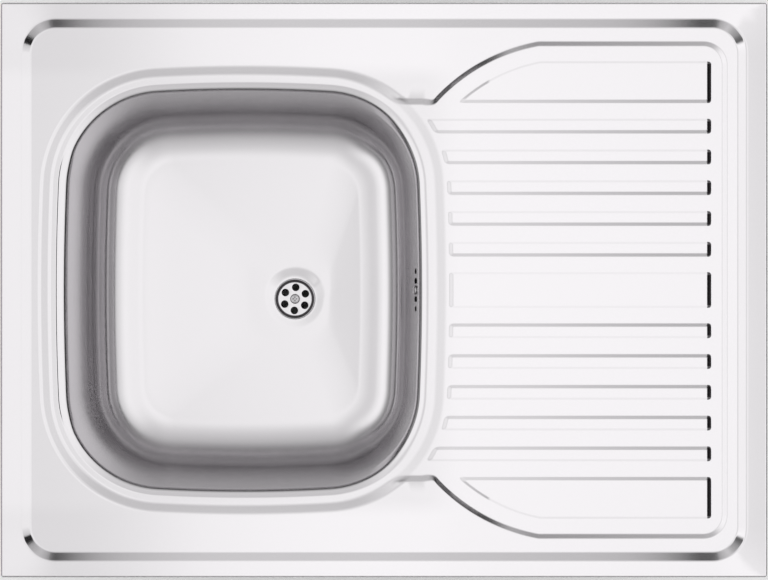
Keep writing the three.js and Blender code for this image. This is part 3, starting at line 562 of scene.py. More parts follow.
def bowl_rings():
    """(position rings, thickness direction rings) from the ledge down to the outlet hole."""
    edge = edge_profile()
    edge_in, edge_foot = -edge[-1][0], edge[-1][1]
    wall_foot = Z_FLOOR + FLOOR_R * (1 - math.sin(DRAFT))
    wall_in = edge_in + (edge_foot - wall_foot) * math.tan(DRAFT)
    floor_in = wall_in + FLOOR_R * math.cos(DRAFT)
    prof = [(-o, z, math.sin(a), math.cos(a)) for o, z, a in edge[1:]]
    for k in range(1, 14):
        f = k / 14
        prof.append((edge_in + (wall_in - edge_in) * f, edge_foot + (wall_foot - edge_foot) * f, math.cos(DRAFT), math.sin(DRAFT)))
    for k in range(0, 25):
        t = DRAFT + (HALF - DRAFT) * k / 24
        prof.append((floor_in - FLOOR_R * math.cos(t), Z_FLOOR + FLOOR_R - FLOOR_R * math.sin(t), math.cos(t), math.sin(t)))
    pos, nor = [], []
    left, right = smoothstep(-NORM[:, 0], 0.90, 0.99), smoothstep(NORM[:, 0], 0.5, 0.95)
    turn_at = [o for o, _, _ in reversed(edge)]
    turn_by = [a for _, _, a in reversed(edge)]
    for i, (s, z, ns, nz) in enumerate(prof):
        tilt = np.full(NB, math.atan2(ns, nz))
        # the rolled edge turns later on the two long sides
        for side, by in ((right, 2.6), (left, 1.2 if i >= 3 else 0.0)):
            if i < len(edge) + 4:
                tilt += (np.interp(by - s, turn_at, turn_by) - tilt) * side
        if i < 3:                       # the rolled edge is tighter on the left-hand side
            tilt += (math.radians((26.0, 42.0, 42.0)[i]) - tilt) * left
        elif i >= len(edge) - 2:        # the right-hand wall stands a little more open
            up = math.sin(tilt[0]) ** 4
            bend = math.sin(math.pi * min(1.0, tilt[0] / (HALF - DRAFT)))
            tilt += wall_turn(z) * right * up - math.radians(8.5) * right * bend
        low = math.radians(1.72) * math.exp(-tilt[0] / math.radians(9)) if i > len(edge) + 12 else 0.0
        tilt = tilt + low
        pos.append(np.column_stack([ring(-s), np.full(NB, z)]))
        nor.append(np.column_stack([-NORM * np.sin(tilt)[:, None], np.cos(tilt)]))
    # floor, then the outlet dish
    foot = pos[-1][:, :2]
    ang = np.unwrap(np.arctan2(foot[:, 1] - DISH_Y, foot[:, 0] - DISH_X))
    t = 2 * math.pi * np.arange(NB) / NB
    t = t + (ang - t).mean()
    circle = np.column_stack([np.cos(t), np.sin(t)])
    centre = np.array([DISH_X, DISH_Y])
    start = len(pos)
    dish_out = DISH_R + 1.0 + 4.5 * np.sqrt(np.clip(circle[:, 1], 0, 1))
    rim = centre + circle * dish_out[:, None]
    for k in range(1, 15):
        f = k / 14
        g = f * f * (3 - 2 * f) * 0.35 + f * 0.65
        drop = float(ease(np.array(g), 0.02, 0.30))
        p = foot + (rim - foot) * g
        pos.append(np.column_stack([p, np.full(NB, Z_FLOOR + (DISH_Z - Z_FLOOR) * drop)]))
    for k in range(1, 13):
        f = k / 12
        r = dish_out + (23.4 - dish_out) * f
        z = DISH_Z + (DISH_LAND - DISH_Z) * float(ease(np.array(f), 0.25, 0.25))
        pos.append(np.column_stack([centre + circle * r[:, None], np.full(NB, z)]))
    for r in (22.6, DISH_HOLE + 0.25, DISH_HOLE):
        pos.append(np.column_stack([centre + circle * r, np.full(NB, DISH_LAND if r > DISH_HOLE else DISH_LAND - 0.25)]))
    # directions for the floor and dish from the rings themselves
    P = np.stack(pos)
    for i in range(start, len(P)):
        along = np.roll(P[i], -1, 0) - np.roll(P[i], 1, 0)
        down = P[min(i + 1, len(P) - 1)] - P[i - 1]
        n = np.cross(along, -down)
        n /= np.linalg.norm(n, axis=1)[:, None]
        n[n[:, 2] < 0] *= -1
        if i < start + 14:              # the floor runs softly up into the corner all round
            d = np.linalg.norm(P[i] - P[start - 1], axis=1)
            n[:, :2] += -NORM * (0.030 * np.exp(-(d / 26.0)))[:, None]
            n /= np.linalg.norm(n, axis=1)[:, None]
        if i > start + 10:              # the near side of the dish runs out flat
            way = -n[:, 1] / np.maximum(np.hypot(n[:, 0], n[:, 1]), 1e-6)
            n[:, :2] *= (0.26 + 0.80 * smoothstep(way, 0.42, 0.66))[:, None]
            n /= np.linalg.norm(n, axis=1)[:, None]
        nor.append(n)
    nor[-1] = np.tile([0.0, 0.0, 1.0], (NB, 1))
    return P, np.stack(nor)


def inside(pts, loop):
    x, y = pts[:, 0], pts[:, 1]
    res = np.zeros(len(pts), bool)
    j = len(loop) - 1
    for i in range(len(loop)):
        (xi, yi), (xj, yj) = loop[i], loop[j]
        if yi != yj:
            res ^= ((yi > y) != (yj > y)) & (x < (xj - xi) * (y - yi) / (yj - yi) + xi)
        j = i
    return res


def fill(loops, extra=()):
    """Triangles, anticlockwise, between an outer loop and the holes in it."""
    pts, edges = [], []
    for loop in loops:
        i, n = len(pts), len(loop)
        pts += list(loop)
        edges += [(i + k, i + (k + 1) % n) for k in range(n)]
    pts += list(extra)
    out = delaunay_2d_cdt([Vector(p) for p in pts], edges, [], 0, 1e-7, True)
    ids = [o[0] if o else -1 for o in out[3]]
    xy = np.array(pts, float)
    tris = np.array([[ids[i] for i in t] for t in out[2] if len(t) == 3])
    tris = tris[(tris >= 0).all(axis=1)]
    c = xy[tris].mean(axis=1)
    keep = inside(c, loops[0])
    for h in loops[1:]:
        keep &= ~inside(c, h)
    tris = tris[keep]
    a, b, d = xy[tris[:, 0]], xy[tris[:, 1]], xy[tris[:, 2]]
    area = (b[:, 0] - a[:, 0]) * (d[:, 1] - a[:, 1]) - (b[:, 1] - a[:, 1]) * (d[:, 0] - a[:, 0])
    tris[area < 0] = tris[area < 0][:, ::-1]
    return tris[np.abs(area) > 1e-9]


OVER_TOP, OVER_FOOT, OVER_SPAN = 20, 24, 3     # rows of the wall and columns each side that hold the overflow openings


def overflow_patch(rows, ids, first):
    """The piece of wall with the four slots and the screw hole: points, directions, faces, opening loops."""
    edge = edge_profile()
    foot_z = edge[-1][1]
    span = list(range(-OVER_SPAN, OVER_SPAN + 1))
    ring_at = [(OVER_TOP, k) for k in span] + [(i, OVER_SPAN) for i in range(OVER_TOP + 1, OVER_FOOT + 1)]
    ring_at += [(OVER_FOOT, k) for k in reversed(span[:-1])] + [(i, -OVER_SPAN) for i in range(OVER_FOOT - 1, OVER_TOP, -1)]
    outer = [tuple(rows[i][k % NB][1:3]) for i, k in ring_at]
    outer_ids = [ids[i][k % NB] for i, k in ring_at]
    cos_d = math.cos(DRAFT)
    loops = []
    for u, h in ((-20.1, 12.0), (-9.8, 18.0), (9.8, 18.0), (20.1, 12.0)):
        r, half = 2.9, h / 2 - 2.9
        pts = [(u + r * math.cos(math.pi * k / 12), half + r * math.sin(math.pi * k / 12)) for k in range(13)]
        pts += [(u - r * math.cos(math.pi * k / 12), -half - r * math.sin(math.pi * k / 12)) for k in range(13)]
        loops.append([(a, OVER_Z + b * cos_d) for a, b in pts])
    loops.append([(3.0 * math.cos(2 * math.pi * k / 20), OVER_Z + 3.0 * math.sin(2 * math.pi * k / 20) * cos_d) for k in range(20)])
    inner = [q for loop in loops for q in loop]
    extra = [(a, b) for b in np.arange(-34.5, -9, 2.6) for a in np.arange(-30, 30.1, 2.6)
             if not any(abs(a - u) < 4.2 and abs(b - OVER_Z) < h / 2 + 1.3 for u, h in ((-20.1, 12.0), (-9.8, 18.0), (0.0, 6.0), (9.8, 18.0), (20.1, 12.0)))]
    tris = fill([outer] + loops, extra)
    new = np.array(inner + extra)
    s_in = (foot_z - new[:, 1]) * math.tan(DRAFT)
    t = np.arcsin(new[:, 0] / (R_SIDE - s_in))
    x = BOWL_X + BA + (R_SIDE - s_in) * np.cos(t)
    v = np.column_stack([x, new])
    d = DRAFT - wall_turn(new[:, 1]) * 0.96
    n = np.column_stack([-np.cos(t) * np.cos(d), -np.sin(t) * np.cos(d), np.sin(d)])
    all_ids = outer_ids + list(range(first, first + len(new)))
    f = [tuple(all_ids[i] for i in q[::-1]) for q in tris]
    out, at = [], first
    for loop in loops:
        out.append(list(reversed(range(at, at + len(loop)))))
        at += len(loop)
    return v, n, f, out


def new_object(name, verts, faces, normals=None, smooth=True):
    me = bpy.data.meshes.new(name)
    me.from_pydata([tuple(v) for v in np.asarray(verts) * MM], [], [tuple(int(i) for i in f) for f in faces])
    me.validate(verbose=False)
    if smooth:
        me.polygons.foreach_set("use_smooth", [True] * len(me.polygons))
    me.update()
    if normals is not None:
        me.normals_split_custom_set_from_vertices([tuple(n) for n in normals])
    ob = bpy.data.objects.new(name, me)
    bpy.context.scene.collection.objects.link(ob)
    return ob


def pressing():
    pos, nor, faces, outer_ids, inner_ids = sheet_arrays()
    P, N = [pos], [nor]
    count = len(pos)

    def add(p, n):
        nonlocal count
        P.append(p)
        N.append(n)
        ids = list(range(count, count + len(p)))
        count += len(p)
        return ids

    def quads(a, b):
        n = len(a)
        for k in range(n):
            j = (k + 1) % n
            faces.append((a[k], a[j], b[j], b[k]))

    bp, bn = bowl_rings()
    last = inner_ids
    rings = []
    for i, (p, n) in enumerate(zip(bp, bn)):
        ids = add(p, n)
        m = len(ids)
        for k in range(m):
            if OVER_TOP < i <= OVER_FOOT and (k + OVER_SPAN) % m < 2 * OVER_SPAN:
                continue
            j = (k + 1) % m
            faces.append((last[k], last[j], ids[j], ids[k]))
        rings.append(ids)
        last = ids
    hole = last
    patch_v, patch_n, patch_f, openings = overflow_patch(bp, rings, count)
    add(patch_v, patch_n)
    faces += patch_f
    # fold, skirt, fold, return flange
    r = FOLD_R
    steps = [(r * (1 - math.sin(a)), Z_RIM - r * (1 - math.cos(a)), math.sin(a), math.cos(a)) for a in [HALF * k / 6 for k in range(1, 7)]]
    steps += [(0.0, z, 1.0, 0.0) for z in (20.0, 12.0, 5.0)]
    q = 1.6
    steps += [(q * (1 - math.cos(a)), q * (1 - math.sin(a)), math.cos(a), -math.sin(a)) for a in [HALF * k / 5 for k in range(0, 6)]]
    steps += [(4.0, 0.0, 0.0, -1.0), (8.0, 0.0, 0.0, -1.0), (FLANGE, 0.0, 0.0, -1.0)]
    last = outer_ids
    for d, z, nx, nz in steps:
        p = skirt_ring(d)
        nrm = np.roll(p, -1, 0) - np.roll(p, 1, 0)
        nrm = np.column_stack([nrm[:, 1], -nrm[:, 0]])
        nrm /= np.maximum(np.linalg.norm(nrm, axis=1)[:, None], 1e-9)
        tx = np.full(len(p), nx)
        if z > 27.8:                    # the right-hand fold is tighter
            tx = np.where(nrm[:, 0] > 0.95, min(nx, math.sin(math.radians(42))), nx)
        tz = np.where(tx != nx, math.cos(math.radians(42)), nz)
        ids = add(np.column_stack([p, np.full(len(p), z)]), np.column_stack([nrm * tx[:, None], tz]))
        quads(ids, last)
        last = ids
    flange = last
    P, N = np.vstack(P), np.vstack(N)
    n = len(P)
    # the other face of the sheet
    Q = P - N * SHEET
    back = [tuple(reversed([i + n for i in f])) for f in faces]
    allf = faces + back
    for ringids, flip in [(hole, True), (flange, False)] + [(o, True) for o in openings]:
        m = len(ringids)
        for k in range(m):
            a, b = ringids[k], ringids[(k + 1) % m]
            allf.append((a, b, b + n, a + n) if flip else (b, a, a + n, b + n))
    return np.vstack([P, Q]), allf, np.vstack([N, -N])


sheet_v, sheet_f, sheet_n = pressing()
sink = new_object("sink_sheet", sheet_v, sheet_f, sheet_n)
print("sheet", len(sheet_v), len(sheet_f))


# ---------------------------------------------------------------------------
# materials
# ---------------------------------------------------------------------------
class Nodes:
    def __init__(self, tree):
        self.t = tree
        tree.nodes.clear()

    def add(self, kind, **kw):
        n = self.t.nodes.new(kind)
        for k, v in kw.items():
            if k == "inputs":
                for a, b in v.items():
                    n.inputs[a].default_value = b
            else:
                setattr(n, k, v)
        return n

    def link(self, a, b):
        self.t.links.new(a, b)

    def math(self, op, a, b=None, clamp=False):
        n = self.t.nodes.new("ShaderNodeMath")
        n.operation = op
        n.use_clamp = clamp
        for i, v in enumerate((a, b)):
            if v is None:
                continue
            if isinstance(v, (int, float)):
                n.inputs[i].default_value = v
            else:
                self.link(v, n.inputs[i])
        return n.outputs[0]


def steel(name, color, rough, brush=0.35, wave=0.0, streak=(1.0, 60.0, 60.0), spread_r=0.05, aniso=0.0, painted_light_gain=0.0, groove=None):
    m = bpy.data.materials.new(name)
    m.use_nodes = True
    g = Nodes(m.node_tree)
    out = g.add("ShaderNodeOutputMaterial")
    b = g.add("ShaderNodeBsdfPrincipled")
    b.inputs["Base Color"].default_value = (*color, 1)
    b.inputs["Metallic"].default_value = 1.0
    g.link(b.outputs[0], out.inputs[0])
    if aniso:
        b.inputs["Anisotropic"].default_value = aniso
        across = g.add("ShaderNodeCombineXYZ", inputs={"X": 0.0, "Y": 1.0, "Z": 0.0})
        g.link(across.outputs[0], b.inputs["Tangent"])
    tc = g.add("ShaderNodeTexCoord")
    mp = g.add("ShaderNodeMapping")
    mp.inputs["Scale"].default_value = streak
    g.link(tc.outputs["Object"], mp.inputs[0])
    n1 = g.add("ShaderNodeTexNoise", inputs={"Scale": 40.0, "Detail": 4.0, "Roughness": 0.6})
    g.link(mp.outputs[0], n1.inputs["Vector"])
    n2 = g.add("ShaderNodeTexNoise", inputs={"Scale": 9.0, "Detail": 3.0, "Roughness": 0.5})
    g.link(tc.outputs["Object"], n2.inputs["Vector"])
    mr = g.add("ShaderNodeMapRange", inputs={"From Min": 0.3, "From Max": 0.7, "To Min": rough - spread_r, "To Max": rough + spread_r})
    mix = g.math("ADD", g.math("MULTIPLY", n1.outputs[0], 0.6), g.math("MULTIPLY", n2.outputs[0], 0.4))
    g.link(mix, mr.inputs[0])
    g.link(mr.outputs[0], b.inputs["Roughness"])
    # brushing lines and cloudy patches in the colour; painted light: the colour of the drainboard side is brightened
    lines = g.add("ShaderNodeMapRange", inputs={"From Min": 0.3, "From Max": 0.7, "To Min": 0.975, "To Max": 1.02})
    g.link(mix, lines.inputs[0])
    tone_and_painted_light = lines.outputs[0]
    if painted_light_gain:
        sp = g.add("ShaderNodeSeparateXYZ")
        g.link(tc.outputs["Object"], sp.inputs[0])
        side = g.add("ShaderNodeMapRange", interpolation_type="SMOOTHSTEP", inputs={"From Min": 0.035, "From Max": 0.085, "To Min": 1.0, "To Max": 1.0 + painted_light_gain})
        g.link(sp.outputs[0], side.inputs[0])
        tone_and_painted_light = g.math("MULTIPLY", tone_and_painted_light, side.outputs[0])

        def span(v, a, b, lo, hi):
            n = g.add("ShaderNodeMapRange", interpolation_type="SMOOTHSTEP", inputs={"From Min": a, "From Max": b, "To Min": lo, "To Max": hi})
            g.link(v, n.inputs[0])
            return n.outputs[0]

        # painted light and shade: the colour of the strips behind and in front of the bowl is brightened, that of the
        # two left-hand corners darkened
        strip = span(g.math("ABSOLUTE", sp.outputs[1]), 0.216, 0.240, 0.0, 1.0)
        right = span(sp.outputs[0], -0.330, -0.170, -0.045, 0.085)
        gone = span(sp.outputs[0], 0.035, 0.085, 1.0, 0.0)
        tone_and_painted_light = g.math("MULTIPLY", tone_and_painted_light, g.math("ADD", g.math("MULTIPLY", g.math("MULTIPLY", strip, right), gone), 1.0))
        # painted shade: the colour of the short steep right-hand ends of the raised ribs is darkened
        x1 = (RIB_RIGHT + CAP_ON) * MM
        x0 = x1 - W_CAP * MM
        ay = g.math("ABSOLUTE", sp.outputs[1])
        low, half = (RIB_FIRST - RIB_PITCH / 2) * MM, RIB_PITCH / 2 * MM
        way = g.math("ABSOLUTE", g.math("SUBTRACT", g.math("MODULO", g.math("SUBTRACT", ay, low), RIB_PITCH * MM), half))
        among = g.math("MULTIPLY", g.math("GREATER_THAN", ay, low), g.math("LESS_THAN", ay, low + 5 * RIB_PITCH * MM))
        rib = g.math("ADD", g.math("MULTIPLY", g.math("SUBTRACT", 0.0080, way), among), g.math("SUBTRACT", among, 1.0))
        mid = g.math("SUBTRACT", 0.0189, ay)
        lens = g.math("SUBTRACT", 0.0219, g.math("ABSOLUTE", g.math("SUBTRACT", ay, 0.2173)))
        r = 0.0030
        from_side = g.math("MAXIMUM", g.math("SUBTRACT", r, g.math("MAXIMUM", rib, g.math("MAXIMUM", mid, lens))), 0.0)
        from_end = g.math("MAXIMUM", g.math("SUBTRACT", sp.outputs[0], x1 - 0.0003 - r), 0.0)
        corner = g.math("SQRT", g.math("ADD", g.math("MULTIPLY", from_side, from_side), g.math("MULTIPLY", from_end, from_end)))
        painted_cap_shade = g.math("MULTIPLY", span(corner, r - 0.0005, r + 0.0001, 1.0, 0.0), span(sp.outputs[0], x0 + 0.0004, x0 + 0.0010, 0.0, 1.0))
        tone_and_painted_light = g.math("MULTIPLY", tone_and_painted_light, g.math("SUBTRACT", 1.0, g.math("MULTIPLY", painted_cap_shade, 0.88)))
    if groove:                          # painted shade: a dark ring in the colour over the strainer's sloping collar, between two radii in metres
        sp = g.add("ShaderNodeSeparateXYZ")
        g.link(tc.outputs["Object"], sp.inputs[0])
        gx = g.math("SUBTRACT", sp.outputs[0], DISH_X * MM)
        gy = g.math("SUBTRACT", sp.outputs[1], DISH_Y * MM)
        r = g.math("SQRT", g.math("ADD", g.math("MULTIPLY", gx, gx), g.math("MULTIPLY", gy, gy)))
        r = g.math("ADD", r, g.math("MULTIPLY", g.math("ADD", n2.outputs[0], -0.5), 0.0012))
        a = g.add("ShaderNodeMapRange", interpolation_type="SMOOTHSTEP", inputs={"From Min": groove[0] - 0.0006, "From Max": groove[0] + 0.0006, "To Min": 1.0, "To Max": groove[2]})
        g.link(r, a.inputs[0])
        c = g.add("ShaderNodeMapRange", interpolation_type="SMOOTHSTEP", inputs={"From Min": groove[1] - 0.0005, "From Max": groove[1] + 0.0005, "To Min": 0.0, "To Max": 1.0 - groove[2]})
        g.link(r, c.inputs[0])
        tone_and_painted_light = g.math("MULTIPLY", tone_and_painted_light, g.math("ADD", a.outputs[0], c.outputs[0]))
    col = g.add("ShaderNodeMix", data_type="RGBA", blend_type="MULTIPLY", inputs={0: 1.0})
    col.inputs[6].default_value = (*color, 1)
    g.link(tone_and_painted_light, col.inputs[7])
    g.link(col.outputs[2], b.inputs["Base Color"])
    bump = g.add("ShaderNodeBump", inputs={"Strength": brush, "Distance": 0.00004})
    g.link(n1.outputs[0], bump.inputs["Height"])
    last = bump
    if wave:
        n3 = g.add("ShaderNodeTexNoise", inputs={"Scale": 7.0, "Detail": 1.0, "Roughness": 0.4})
        g.link(tc.outputs["Object"], n3.inputs["Vector"])
        b2 = g.add("ShaderNodeBump", inputs={"Strength": 1.0, "Distance": wave})
        g.link(n3.outputs[0], b2.inputs["Height"])
        g.link(bump.outputs[0], b2.inputs["Normal"])
        last = b2
    g.link(last.outputs[0], b.inputs["Normal"])
    return m


RHO = 0.55
# the sheet's colour carries painted light and shade: a brighter drainboard side and deck strips, darker left-hand
# corners and rib ends
satin = steel("satin_steel", (RHO, RHO * 0.976, RHO), 0.20, brush=0.08, wave=0.00003, spread_r=0.03, aniso=0.85, painted_light_gain=0.07)
sink.data.materials.append(satin)
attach(sink, "sink")
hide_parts("sink_pressing")

# ---------------------------------------------------------------------------
# builders for the pieces round the sheet, in millimetres
# ---------------------------------------------------------------------------
def fillet(profile, r, n=3):
    """Closed [r, z] profile with rounded corners, except on the axis."""
    out, m = [], len(profile)
    for i in range(m):
        p, a, b = (np.array(profile[j % m], float) for j in (i, i - 1, i + 1))
        la, lb = np.hypot(*(a - p)), np.hypot(*(b - p))
        if p[0] < 1e-6 or la < 1e-6 or lb < 1e-6:
            out.append(tuple(p))
            continue
        ua, ub = (a - p) / la, (b - p) / lb
        ang = math.acos(float(np.clip(ua @ ub, -1, 1)))
        if ang > math.radians(168) or ang < math.radians(2):
            out.append(tuple(p))
            continue
        d = min(r / math.tan(ang / 2), 0.42 * la, 0.42 * lb)
        rr = d * math.tan(ang / 2)
        c = p + (ua + ub) / np.linalg.norm(ua + ub) * d / math.cos(ang / 2)
        a0 = math.atan2(*(p + ua * d - c)[::-1])
        a1 = math.atan2(*(p + ub * d - c)[::-1])
        da = (a1 - a0 + math.pi) % (2 * math.pi) - math.pi
        out += [(c[0] + rr * math.cos(a0 + da * k / n), c[1] + rr * math.sin(a0 + da * k / n)) for k in range(n + 1)]
    return out


def lathe(profile, seg, mod=None):
    """Closed [r, z] profile turned about +Z."""
    v, f, rows = [], [], []
    for r, z in profile:
        if r < 1e-6:
            rows.append([len(v)] * seg)
            v.append((0.0, 0.0, z))
            continue
        rows.append(list(range(len(v), len(v) + seg)))
        for k in range(seg):
            t = 2 * math.pi * k / seg
            q = mod(r, z, t) if mod else r
            v.append((q * math.cos(t), q * math.sin(t), z))
    for i in range(len(rows)):
        a, b = rows[i], rows[(i + 1) % len(rows)]
        for k in range(seg):
            j = (k + 1) % seg
            loop = []
            for q in (a[k], a[j], b[j], b[k]):
                if q not in loop:
                    loop.append(q)
            if len(loop) > 2:
                f.append(tuple(loop))
    return v, f


def rows_between(r, z0, z1, step):
    n = max(2, int(abs(z1 - z0) / step))
    return [(r, z0 + (z1 - z0) * k / n) for k in range(n + 1)]


def thread(major, minor, pitch, z0, z1, run=1.0):
    """Cuts a thread into a turned profile between z0 and z1."""
    def f(r, z, t):
        if r < minor - 0.02 or r > major + 0.02 or z < z0 or z > z1:
            return r
        q = (z / pitch - t / (2 * math.pi)) % 1.0
        tri = min(1.0, max(0.0, 1.35 - 2.7 * abs(q - 0.5) * 2 * 0.74))
        end = min(1.0, (z - z0) / run, (z1 - z) / run)
        return min(r, minor + (major - minor) * tri * max(end, 0.0) + (major - minor) * 0.0)
    return f


def rod(r, z0, z1, seg=48, edge=0.3, mod=None, step=None):
    if step:
        prof = [(0, z0)] + [(r - edge, z0)] + rows_between(r, z0 + edge, z1 - edge, step) + [(r - edge, z1), (0, z1)]
        return lathe(prof, seg, mod)
    return lathe(fillet([(0, z0), (r, z0), (r, z1), (0, z1)], edge), seg, mod)


def moved(shape, m):
    return [tuple(m @ Vector(p)) for p in shape[0]], shape[1]


def prism(outline, z0, z1, scale=1.0):
    n = len(outline)
    v = [(x, y, z0) for x, y in outline] + [(x * scale, y * scale, z1) for x, y in outline]
    f = [tuple(reversed(range(n))), tuple(range(n, 2 * n))]
    f += [(k, (k + 1) % n, n + (k + 1) % n, n + k) for k in range(n)]
    return v, f


def cross(a, w):
    return [(a, -w), (a, w), (w, w), (w, a), (-w, a), (-w, w), (-a, w), (-a, -w), (-w, -w), (-w, -a), (w, -a), (w, -w)]


def circle(cx, cy, r, n, t0=0.0):
    return [(cx + r * math.cos(t0 + 2 * math.pi * k / n), cy + r * math.sin(t0 + 2 * math.pi * k / n)) for k in range(n)]


def blank(name, shape):
    me = bpy.data.meshes.new(name)
    me.from_pydata([tuple(p) for p in shape[0]], [], [tuple(int(i) for i in q) for q in shape[1]])
    me.validate(verbose=False)
    bm = bmesh.new()
    bm.from_mesh(me)
    bmesh.ops.recalc_face_normals(bm, faces=bm.faces)
    bm.to_mesh(me)
    bm.free()
    ob = bpy.data.objects.new(name, me)
    bpy.context.scene.collection.objects.link(ob)
    return ob


def combine(ob, op, *shapes):
    for shape in shapes:
        tool = blank("tool", shape)
        m = ob.modifiers.new("cut", "BOOLEAN")
        m.operation, m.object, m.solver = op, tool, "MANIFOLD"
        bpy.context.view_layer.update()
        me = bpy.data.meshes.new_from_object(ob.evaluated_get(bpy.context.evaluated_depsgraph_get()))
        old, t = ob.data, tool.data
        ob.modifiers.clear()
        ob.data = me
        bpy.data.objects.remove(tool)
        bpy.data.meshes.remove(old)
        bpy.data.meshes.remove(t)
    return ob


def settle(ob, body, node, material, place=None, angle=32.0):
    me = ob.data
    me.transform(Matrix.Scale(MM, 4) @ (place or Matrix.Identity(4)))
    me.polygons.foreach_set("use_smooth", [True] * len(me.polygons))
    me.set_sharp_from_angle(angle=math.radians(angle))
    me.materials.clear()
    me.materials.append(material)
    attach(ob, body)
    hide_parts(node)
    return ob


RX = Matrix.Rotation(HALF, 4, "X")
RY = Matrix.Rotation(HALF, 4, "Y")
SIN_D, COS_D = math.sin(DRAFT), math.cos(DRAFT)
OVER_IN = -EDGE_R + EDGE_R * COS_D + (Z_LEDGE - EDGE_R + EDGE_R * SIN_D - OVER_Z) * math.tan(DRAFT)
OVER = Matrix(((0, SIN_D, COS_D, BOWL_X + HW - OVER_IN + SHEET / COS_D),
               (1, 0, 0, 0),
               (0, COS_D, -SIN_D, OVER_Z),
               (0, 0, 0, 1)))
WASTE = Matrix.Translation((DISH_X, DISH_Y, 0))
SPIGOT_W, SPIGOT_END, INLET_Z, INLET_END = 17.4, -52.0, -168.0, 52.0
HOLE_TURN = HALF - math.radians(3.4)

# ---------------------------------------------------------------------------
# materials of the other pieces
# ---------------------------------------------------------------------------
def moulded(name, color, rough, spread=0.06, mottle=0.06, scale=60.0, grain=900.0, bump=0.00002, metallic=0.0,
            second=None, cells=0.0, cell_size=140.0, sheen=0.0, stretch=(1.0, 1.0, 1.0)):
    m = bpy.data.materials.new(name)
    m.use_nodes = True
    g = Nodes(m.node_tree)
    out = g.add("ShaderNodeOutputMaterial")
    b = g.add("ShaderNodeBsdfPrincipled")
    b.inputs["Metallic"].default_value = metallic
    if sheen:
        b.inputs["Sheen Weight"].default_value = sheen
    g.link(b.outputs[0], out.inputs[0])
    tc = g.add("ShaderNodeTexCoord")
    mp = g.add("ShaderNodeMapping")
    mp.inputs["Scale"].default_value = stretch
    g.link(tc.outputs["Object"], mp.inputs[0])
    big = g.add("ShaderNodeTexNoise", inputs={"Scale": scale, "Detail": 4.0, "Roughness": 0.6})
    fine = g.add("ShaderNodeTexNoise", inputs={"Scale": grain, "Detail": 3.0, "Roughness": 0.6})
    g.link(mp.outputs[0], big.inputs["Vector"])
    g.link(mp.outputs[0], fine.inputs["Vector"])
    ramp = g.add("ShaderNodeValToRGB")
    el = ramp.color_ramp.elements
    lo = tuple(c * (1 - mottle) for c in color)
    hi = tuple(min(c * (1 + mottle), 1.0) for c in (second or color))
    el[0].position, el[0].color = 0.32, (*lo, 1)
    el[1].position, el[1].color = 0.68, (*hi, 1)
    source = big.outputs[0]
    if cells:
        vo = g.add("ShaderNodeTexVoronoi", inputs={"Scale": cell_size})
        g.link(mp.outputs[0], vo.inputs["Vector"])
        sp = g.add("ShaderNodeSeparateColor")
        g.link(vo.outputs["Color"], sp.inputs[0])
        source = g.math("ADD", g.math("MULTIPLY", big.outputs[0], 1 - cells), g.math("MULTIPLY", sp.outputs[0], cells))
    g.link(source, ramp.inputs[0])
    g.link(ramp.outputs[0], b.inputs["Base Color"])
    mr = g.add("ShaderNodeMapRange", inputs={"From Min": 0.3, "From Max": 0.7, "To Min": rough - spread, "To Max": rough + spread})
    g.link(source, mr.inputs[0])
    g.link(mr.outputs[0], b.inputs["Roughness"])
    bp = g.add("ShaderNodeBump", inputs={"Strength": 0.6, "Distance": bump})
    g.link(fine.outputs[0], bp.inputs["Height"])
    g.link(bp.outputs[0], b.inputs["Normal"])
    return m


# the strainer's colour carries a painted shade ring over its sloping collar
bright = steel("bright_steel", (0.53, 0.518, 0.53), 0.20, brush=0.25, wave=0.00004, streak=(8.0, 8.0, 8.0), spread_r=0.06, groove=(0.0188, 0.0219, 0.15))
screw_steel = steel("screw_steel", (0.40, 0.39, 0.40), 0.26, brush=0.3, wave=0.00003, streak=(6.0, 6.0, 6.0), spread_r=0.08)
black_rubber = moulded("black_rubber", (0.022, 0.022, 0.024), 0.72, mottle=0.25, grain=1500.0, bump=0.00006, sheen=0.15)
black_plastic = moulded("black_plastic", (0.020, 0.020, 0.022), 0.42, mottle=0.18, grain=1100.0, bump=0.00003)
hose_plastic = moulded("hose_plastic", (0.60, 0.595, 0.57), 0.42, mottle=0.05, scale=35.0, second=(0.66, 0.65, 0.615))
dark_plastic = moulded("dark_plastic", (0.045, 0.045, 0.05), 0.48, mottle=0.15, grain=1000.0, bump=0.00003)
washer_plastic = moulded("washer_plastic", (0.50, 0.49, 0.455), 0.5, mottle=0.05)
pad_rubber = moulded("pad_rubber", (0.040, 0.038, 0.040), 0.82, mottle=0.3, scale=90.0, grain=700.0, bump=0.0003)
brass = moulded("brass", (0.60, 0.42, 0.17), 0.30, mottle=0.10, metallic=1.0, second=(0.66, 0.49, 0.22), bump=0.00001)
zinc = moulded("zinc_steel", (0.42, 0.43, 0.45), 0.36, spread=0.10, mottle=0.14, metallic=1.0, cells=0.55, bump=0.00001)
yellow_zinc = moulded("yellow_zinc", (0.55, 0.44, 0.17), 0.32, spread=0.08, mottle=0.12, metallic=1.0, scale=220.0,
                      second=(0.52, 0.50, 0.24), bump=0.00001)


